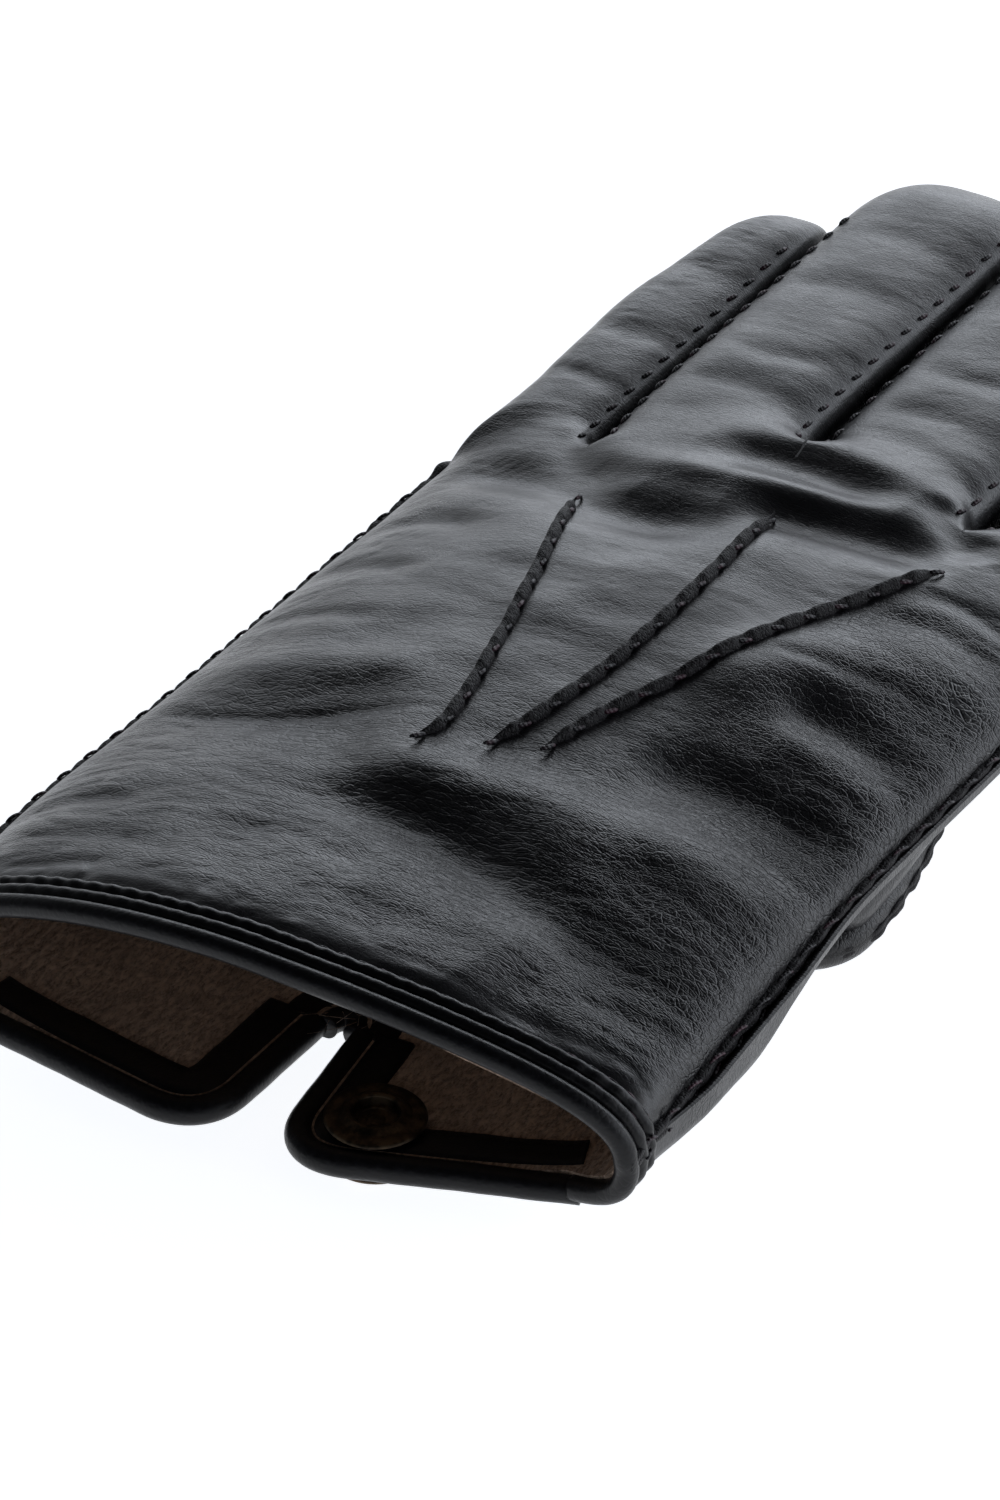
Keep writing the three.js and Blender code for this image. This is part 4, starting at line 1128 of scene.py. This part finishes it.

# %% [markdown]
# ## Outward side seams
# Along both sides of the hand the two panels meet edge to edge and are sewn together with their
# cut edges outward, so a thick little wall of leather stands off the side. The hand stitches
# cross it every five and a half millimetres and pull it into scallops. On the fingers the same
# seam runs on to the tip, lower and thinner.

# %% Side seams
STITCH = 5.5
# The wall's section: how far it reaches out, and how high it stands, as parts of each.
WALL = np.array([(-0.6, -1.0), (0.35, -1.0), (0.8, -0.95), (0.97, -0.72), (1.0, -0.45), (0.96, -0.18), (0.80, -0.03),
                 (0.80, 0.05), (0.90, 0.2), (0.94, 0.48), (0.90, 0.76), (0.74, 0.97), (0.35, 1.0), (-0.6, 1.0)])

def seam_section(travel, height, reach, seed):
    """Two cut edges side by side, pulled in where each stitch crosses."""
    pull = 0.5 + 0.5 * np.cos(2 * np.pi * travel / STITCH)
    rough = wobble(travel, 1.7, seed) * 0.10 + wobble(travel, 5, seed, 9) * 0.14
    reach = reach - 0.32 * pull**1.5 + rough
    thick = height * (1 - 0.30 * pull)
    section = np.zeros((len(travel), len(WALL), 2))
    section[..., 0] = WALL[:, 0] * np.where(WALL[:, 0] > 0, reach[:, None], 1.0)
    section[..., 1] = WALL[:, 1] * thick[:, None]
    section[..., 1] += 0.12 * wobble(travel, 2.1, seed + 1, 3)[:, None]
    return section

def side_seam(name, side, node, body="hand"):
    edge, heights, end, swell = (left, SEAM_LEFT, 121, 0.5) if side < 0 else (right, SEAM_RIGHT, 124, 0.2)
    tilt = 0.10 if side > 0 else 0.0
    y = np.arange(6.4, end, 0.42)
    P = np.stack([edge(y) - side * 0.2, y, along(STATIONS, heights, y)], axis=1)
    A, B = same(unit(np.array([side, 0.0, -tilt])), len(y)), same(unit(np.array([tilt, 0.0, 1.0])), len(y))
    reach = 0.9 + swell * smooth(y, 6, 13)
    seam = swept(name, P, A, B, seam_section(y, 0.95, reach, 41 + side))
    dress(seam, raw_edge, body)
    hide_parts(node)
    c, d, _ = steps_along(P, STITCH, 1.5, 1)
    for where, lift in (("top", 0.95), ("under", -0.95)):
        centres = c + [side * 0.8, 0, lift * 0.9]
        facing = same([0, 0, np.sign(lift)], len(c))
        row = stitches(name + "_stitches_" + where, centres, d, facing, 2.6, 0.5, 0.14, lean=0.25)
        dress(row, thread, body)

side_seam("little_finger_raw_seam", -1, "little_finger_side_seam")
side_seam("forefinger_raw_seam", 1, "forefinger_side_seam")

for k, name, side in ((0, "little", -1), (3, "index", 1)):
    tip = TIPS[k]
    start, root_reach = (120.5, 1.7) if side < 0 else (123.5, 1.4)
    y = start + (tip - 1.0 - start) * (1 - (1 - np.linspace(0, 1, 190)) ** 1.2)
    P = surface(k, side + 0 * y, y)
    flat = unit(np.gradient(P, axis=0) * [1, 1, 0])
    A = np.stack([flat[:, 1], -flat[:, 0], 0 * y], axis=1) * side
    travel = run_of(P) + start
    reach = mix(root_reach, 1.3, smooth(y, start, start + 25)) * mix(1, 0.5, smooth(y, tip - 14, tip))
    section = seam_section(travel, 0.85, reach, 55 + k)
    seam = swept(name + "_tip_seam", P - A * 0.3, A, same([0, 0, 1], len(y)), section)
    dress(seam, raw_edge, None)
    a, b = BENDS[name]
    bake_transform(seam)

# %% [markdown] ## Thumb seam and strip The thumb has the same outward seam along its edge,
# which gets thinner towards both ends. The strip of leather between it and the palm is a small
# grid, bowed out in the middle, that runs from one body to the other.

# %% Thumb seam
def thumb_edge(y):
    """The outer side of the thumb, seen from above."""
    return along(THUMB_STATIONS, THUMB_MIDDLE, y) + thumb_close(y) * along(THUMB_STATIONS, THUMB_HALF, y)

y = np.arange(62, 108, 0.45)
P = np.stack([thumb_edge(y) - 0.5, y, THUMB_HEIGHT + 0 * y], axis=1)
flat = unit(np.gradient(P, axis=0))
A = np.stack([flat[:, 1], -flat[:, 0], 0 * y], axis=1)
ends = np.minimum(smooth(y, 61, 70), 1 - smooth(y, 98, 109))
section = seam_section(y, 0.8, 0.35 + 0.6 * ends, 61)
thumb_seam = swept("thumb_raw_seam", P, A, same([0, 0, 1], len(y)), section)
dress(thumb_seam, raw_edge, "thumb")

# %% Strip between the palm and the thumb
rows = np.linspace(0, 1, 14)
y = np.linspace(58, 106, 90)
reaches = np.minimum(smooth(y, 57, 67), 1 - smooth(y, 96, 107))
start_x, end_x = right(y) - 1.8, thumb_edge(y) - 1.2
strip = np.zeros((len(y), len(rows), 3))
for c, t in enumerate(rows):
    bow = np.sin(np.pi * t) * reaches
    down = t * mix(0.12, 1, reaches)
    strip[:, c] = np.stack([mix(start_x, end_x, down) + 1.1 * bow, y, mix(11.3, 5.6, down)], axis=1)
gusset = make_mesh("thumb_gusset", strip.reshape(-1, 3), [grid_faces(len(y), len(rows))])
thicken(gusset, 0.7)
write_skin(gusset, strip)
for mark, strength in (("cracked", 0.6), ("crosswise", 0.4)):
    write_mark(gusset, mark, np.full(len(gusset.data.vertices), strength))
dress(gusset, palm_leather, None)
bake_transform(gusset)

# %% [markdown]
# ## Three points on the back
# The points are tucks: the leather is pinched up into a narrow ridge and sewn through by hand.
# From above it looks like a rope, because every stitch bites a notch into one side of the ridge
# and the leather swells between the notches. So the ridge is swept along the back with a notch
# every stitch, leaning to its smooth side, and a dark thread lies in each notch.

# %% Raised points
POINTS = {
    "little_finger": [(-6.8, 48.6), (-5.9, 53), (-7.2, 62), (-10.2, 75), (-14.2, 90), (-18.6, 104),
                      (-21.4, 112.5)],
    "middle_finger": [(0.8, 52.6), (2.6, 60), (4.2, 72), (4.8, 84), (4.7, 98), (3.6, 112), (2.5, 121)],
    "forefinger": [(6.8, 55.5), (8.8, 65), (12.8, 77), (16.8, 90), (21, 104), (26.4, 119.5)],
}
POINT_STEP = 0.28

def on_back(x, y):
    """Height of the finished back, folds and all, at any place on the hand."""
    x, y = np.asarray(x, float), np.asarray(y, float)
    soft_edge = 1 - np.abs(across_hand(x)) ** 10
    return back_height(x, y) + (fold_height(x, y) + wrinkle_height(x, y)) * soft_edge

def back_normal(x, y, d=0.8):
    gx = (on_back(x + d, y) - on_back(x - d, y)) / (2 * d)
    gy = (on_back(x, y + d) - on_back(x, y - d)) / (2 * d)
    return unit(np.stack([-gx, -gy, 1 + 0 * gx], axis=1))

for number, (name, points) in enumerate(POINTS.items()):
    line = evened(curve(points, 8), POINT_STEP)
    x, y = line[:, 0], line[:, 1]
    travel = np.arange(len(x)) * POINT_STEP
    length = travel[-1]
    way = unit(np.gradient(line, axis=0))
    n = back_normal(x, y, 1.5)
    A = np.stack([-way[:, 1], way[:, 0], 0 * x], axis=1)
    A = unit(A - n * (A * n).sum(axis=1, keepdims=True))
    P = np.stack([x, y, on_back(x, y)], axis=1)
    fade = smooth(np.minimum(travel, length - travel), 0, 4.5)
    notch = np.clip(np.cos(2 * np.pi * (travel / STITCH)), 0, 1) ** 0.9
    w = np.linspace(0, 2 * np.pi, 20, endpoint=False)
    c, s = np.cos(w), np.sin(w)
    wide_left, wide_right = 0.66 * fade, (0.80 - 0.42 * notch) * fade
    tall = (1.25 - 0.22 * notch + wobble(travel, 4, 80 + number) * 0.10) * mix(0.35, 1, fade)
    section = np.zeros((len(x), 20, 2))
    section[..., 0] = np.where(c > 0, c * wide_left[:, None], c * wide_right[:, None]) + 0.18 * np.maximum(s, 0)
    section[..., 1] = np.where(s > 0, np.abs(s) ** 0.8 * tall[:, None], s * 0.6)
    ridge = swept(name + "_raised_point", P, A, n, section)
    dress(ridge, raw_edge, "hand")
    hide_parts(name + "_point")
    at_stitch = np.arange(0, length, STITCH)
    p, a, nn = [sampled(V, travel, at_stitch) for V in (P, A, n)]
    d, facing = unit(np.cross(a, nn)), unit(nn * 0.45 - a)
    row = stitches(name + "_point_stitches", p - a * 0.42 + nn * 0.50, d, facing, 2.4, 0.60, 0.10, lean=0.22)
    dress(row, thread, "hand")

# %% [markdown]
# ## Stitches beside the fingers' gaps
# The narrow side strips are sewn in from outside with prick stitches, which show as a row of
# short dashes two to three millimetres from each gap, on both sides. One thread shape is copied
# along every finger, with only a few dozen faces each.

# %% Prick stitches
def gap_row(k, side, y0, y1, inside=2.0, pitch=5.0):
    """Places, directions and outward directions of the dashes along one side of finger k."""
    y = np.arange(y0, y1, pitch)
    width = side_line(k + 1, y) - side_line(k, y)
    s = side * (1 - 2 * inside / width)
    P, ahead = surface(k, s, y), surface(k, s, y + 0.8)
    beside = surface(k, s + 0.05, y)
    d = unit(ahead - P)
    return P, d, unit(np.cross(beside - P, d))

for k, name in enumerate(DIGITS):
    sets = []
    for other, slit, side in ((k - 1, SLITS[k], -1), (k + 1, SLITS[k + 1], 1)):
        if 0 <= other <= 3:
            sets.append(gap_row(k, side, slit + 3, min(TIPS[k], TIPS[other] + 6) - 9))
    P, D, N = [np.concatenate(v) for v in zip(*sets)]
    row = stitches(name + "_finger_stitches", P, D, N, 2.7, 0.62, 0.16, lean=0.12)
    dress(row, thread, None)
    a, b = BENDS[name]
    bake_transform(row)

# %% [markdown]
# ## Vent flaps
# The palm side of the cuff is slit, and the two sides of the slit are flaps that close with the
# snap. A flap is ruled from its fold line to its bound edge: every place on the edge is joined
# to a place on the fold. Leather below, knit above, and a rolled binding round the free edges.

# %% Flap outlines
EDGE_STEP = 0.35

def corners_of(side):
    return {k: np.array(v, float) for k, v in FLAPS[side].items()}

def flap_edge(side, inset, radius, tail=0.6):
    """The bound edge from the hem round the free corner to the vent's apex, moved in by `inset`."""
    f = corners_of(side)
    h, c, a, fold = f["hem"], f["corner"], f["apex"], f["fold"]
    inside = (h + c + a + fold) / 4

    def moved(p, q):
        d = unit(q - p)
        n = np.array([-d[1], d[0]])
        n = n if np.dot(n, inside - p) > 0 else -n
        return p + n * inset, d

    (p1, d1), (p2, d2) = moved(h, c), moved(c, a)
    t = np.linalg.solve(np.array([d1, -d2]).T, p2 - p1)
    corner = p1 + d1 * t[0]
    stop_short = 3.2 if side == "left" else 2.6
    start, end = p1 - d1 * tail, p2 + d2 * (np.linalg.norm(a - c) - stop_short)
    p, q = corner - d1 * radius, corner + d2 * radius
    u = np.linspace(0, 1, 14)[:, None]
    turn = mix(mix(p, corner, u), mix(corner, q, u), u)
    before = mix(start, p, np.linspace(0, 1, 60)[:, None])
    after = mix(q, end, np.linspace(0, 1, 50)[:, None])
    return evened(np.concatenate([before[:-1], turn, after[1:]]), EDGE_STEP)

def flap_sheet(side, inset, rows=26):
    """A grid from the fold line to the bound edge, at the height of the palm."""
    edge, f = flap_edge(side, 2.4, 6.2), corners_of(side)
    t = np.linspace(0, 1, len(edge))[:, None]
    fold_line = mix(f["fold"], f["apex"], t)
    v = np.linspace(0, 1, rows)[:, None, None]
    flat = fold_line[None] * (1 - v) + edge[None] * v
    z = palm_height(flat[..., 0], flat[..., 1], inset)
    return np.concatenate([flat, z[..., None]], axis=2)

print("bound edges, mm:", {side: round(len(flap_edge(side, 3.0, 6.6)) * EDGE_STEP) for side in FLAPS})

# %% [markdown]
# Each flap is three pieces. Its leather and its lining are sheets from the fold line to the edge.
# The binding is one section swept round the edge, stiff, and it rides on the flap.

# %% Flap leather, lining and binding
# The binding's section: a fat roll at the edge, then a flat strip of black leather on the lining.
BOUND_EDGE = np.concatenate([
    arc(-1.45, 0.0, 1.70, -100, -268, 15), arc(-1.45, 0.0, 1.70, 82, 25, 6),
    [(0.35, 1.22), (1.7, 1.38), (3.4, 1.42), (4.7, 1.34), (4.95, 1.0), (4.8, -0.7), (1.2, -1.5)]])
BOUND_HEIGHT = 3.75
for side in ("left", "right"):
    f = corners_of(side)
    fold_way = unit(f["apex"] - f["fold"])
    outward = np.array([fold_way[1], -fold_way[0]])
    outward = outward if outward[1] < 0 else -outward
    for what, inset, thick, paint, slot_name in (("leather", 0.0, 0.85, palm_leather, "black_leather"),
                                                 ("lining", 1.45, 0.9, knit, "knit")):
        sheet = flap_sheet(side, inset)
        flip = sheet if side == "left" else sheet[:, ::-1]
        piece = make_mesh(side + "_flap_" + what + "_panel", flip.reshape(-1, 3), [grid_faces(*flip.shape[:2])])
        # Each sheet's first face looks down at the table, and its thickness is added above.
        if sum(p.normal.z for p in piece.data.polygons) > 0:
            piece.data.flip_normals()
        thicken(piece, thick)
        write_skin(piece, flip)
        for mark, strength in (("cracked", 0.4), ("crosswise", 0.5)):
            write_mark(piece, mark, np.full(len(piece.data.vertices), strength))
        dress(piece, paint, None)
        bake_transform(piece)
        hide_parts(side + "_flap_" + what)
    edge = flap_edge(side, 3.0, 6.6, 2.0 if side == "right" else 0.9)
    d = unit(np.gradient(edge, axis=0))
    inward = np.stack([-d[:, 1], d[:, 0]], axis=1) * (1 if side == "left" else -1)
    travel = np.arange(len(edge)) * EDGE_STEP
    section = np.repeat(BOUND_EDGE[None], len(edge), axis=0) * (1 + 0.03 * wobble(travel, 5.0, 90)[:, None, None])
    section[..., 1] += 0.10 * wobble(travel, 9, 91)[:, None]
    # Where the lining climbs, the flat strip is lifted with it.
    inner = edge + inward * 3.4
    rise = np.clip(palm_height(inner[:, 0], inner[:, 1], 1.45) - 3.85, 0, 3)
    flat_strip = (BOUND_EDGE[:, 0] > 0.3) & (BOUND_EDGE[:, 1] > 0)
    section[..., 1] += flat_strip[None] * rise[:, None]
    P = np.concatenate([edge, np.full((len(edge), 1), BOUND_HEIGHT)], axis=1)
    A = np.concatenate([inward, np.zeros((len(edge), 1))], axis=1)
    binding = swept(side + "_flap_rolled_binding", P, A, same([0, 0, 1], len(edge)), section)
    dress(binding, roll_leather, side + "_flap")
    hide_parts(side + "_flap_binding")

# %% [markdown]
# At the vent's apex the two bindings run into one. A half circle of the same section, a little
# smaller, covers their ends. It stays with the hand.

# %% Apex of the vent
w = np.linspace(-0.2, np.pi + 0.2, 60)
apex = np.stack([3.1 * np.cos(w), 20.6 + 3.6 * np.sin(w), 3.65 + 0 * w], axis=1)
way = unit(np.gradient(apex, axis=0))
A = np.stack([way[:, 1], -way[:, 0], 0 * w], axis=1)
section = np.repeat(BOUND_EDGE[None] * [0.85, 0.9], len(w), axis=0)
stay = swept("vent_apex_binding", apex, A, same([0, 0, 1], len(w)), section)
dress(stay, roll_leather, "hand")

# %% [markdown]
# ## Snap fastener
# The snap is pressed brass with an antique finish: a cap and a socket on one flap, a stud on the
# other. Pressed parts are round, so each starts as a circle of 48 sides and is drawn outwards
# and upwards ring by ring with extrude and resize, as a spinner forms a disc over a mould. A
# small bevel on the hard rims catches the light.

# %% Turned brass parts
def turned(name, centre, rings, body, node, bevel=0.10):
    """A closed round part. rings are (radius, height) in mm, from its low middle to its high middle."""
    x, y, z = to_model((*centre, rings[0][1]))
    bpy.ops.object.select_all(action="DESELECT")
    radius, height = rings[0]
    bpy.ops.mesh.primitive_circle_add(vertices=48, radius=radius / 1000, fill_type="NGON", location=(x, y, z))
    piece = bpy.context.object
    piece.name = name
    bpy.ops.object.transform_apply(location=True, rotation=True, scale=True)
    bpy.ops.object.mode_set(mode="EDIT")
    bpy.ops.mesh.select_mode(type="FACE")
    bpy.ops.mesh.select_all(action="SELECT")
    for r, h in rings[1:]:
        bpy.ops.mesh.extrude_region_move(TRANSFORM_OT_translate={"value": (0, 0, (h - height) / 1000)})
        bpy.ops.transform.resize(value=(r / radius, r / radius, 1), center_override=(x, y, 0))
        radius, height = r, h
    bpy.ops.mesh.select_all(action="SELECT")
    bpy.ops.mesh.normals_make_consistent(inside=False)
    bpy.ops.object.mode_set(mode="OBJECT")
    soft = piece.modifiers.new("soft rims", "BEVEL")
    soft.width, soft.segments = bevel / 1000, 3
    soft.limit_method, soft.angle_limit = "ANGLE", math.radians(28)
    apply_all(piece)
    bpy.ops.object.shade_smooth_by_angle(angle=math.radians(50))
    dress(piece, brass, body)
    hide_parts(node)

STUD = (-13.5, 6.4)
CAP_RINGS = [(3.2, 0.0), (4.4, 0.14), (5.3, 0.42), (5.85, 0.8), (6.0, 1.1), (5.7, 1.42), (3.6, 1.45), (3.2, 2.05),
             (1.6, 2.1), (1.55, 4.25)]
SOCKET_RINGS = [(1.7, 4.7), (2.0, 5.68), (5.7, 5.70), (6.0, 5.95), (5.75, 6.28), (4.9, 6.42), (4.2, 6.36),
                (3.75, 6.66), (3.3, 6.95), (2.95, 6.93), (2.7, 6.70), (2.55, 5.6), (1.1, 5.45), (0.95, 5.62),
                (0.4, 5.70)]
STUD_RINGS = [(1.5, 0.0), (2.0, 0.22), (2.2, 0.5), (2.1, 0.9), (1.7, 1.2), (2.1, 1.4), (4.3, 1.5), (4.6, 1.7),
              (4.4, 2.05), (1.5, 2.07), (1.45, 3.3)]
turned("snap_cap_pressed", SNAP, CAP_RINGS, "right_flap", "snap_cap")
turned("snap_socket_pressed", SNAP, SOCKET_RINGS, "right_flap", "snap_socket")
turned("snap_stud_pressed", STUD, STUD_RINGS, "left_flap", "snap_stud")

# %% [markdown]
# ## Loose fibres
# Where the vent ends, a few fibres of the lining stick out past the binding. They are hair-thin
# curved tubes, and they are what makes a cut edge look cut.

# %% Stray fibres at the apex
rng = np.random.default_rng(12)
tubes, quads = [], []
w = np.arange(3) / 3 * 2 * np.pi
ring = np.stack([np.cos(w), 0 * w, np.sin(w)], axis=1) * 0.045
for i in range(14):
    base = np.array([rng.uniform(-2.6, 2.6), rng.uniform(19.0, 22.5), rng.uniform(4.6, 5.6)])
    aim = rng.uniform(-1, 1, 3) * [1.0, 0.8, 0.5] + [0, -0.7, 0.45]
    curl = rng.uniform(-1, 1, 3) * 0.8
    u = np.linspace(0, 1, 7)[:, None]
    line = base + aim * u * rng.uniform(1.8, 4.2) + curl * u * u * 1.6
    tubes.append((line[:, None] + ring[None] * (1 - 0.6 * u[:, None])).reshape(-1, 3))
    quads.append(grid_faces(7, 3, True, i * 21))
    quads.append([(i * 21 + 2, i * 21 + 1, i * 21), (i * 21 + 18, i * 21 + 19, i * 21 + 20)])
fibres = make_mesh("stray_lining_fibres", np.concatenate(tubes), quads)
dress(fibres, knit, "hand")

# %% [markdown]
# ## Size of the finished glove
# The box round every shown piece except the table is printed, in metres.

# %% Sizes and finish
low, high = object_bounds()
print("visual box", [round(v, 4) for v in low], [round(v, 4) for v in high])
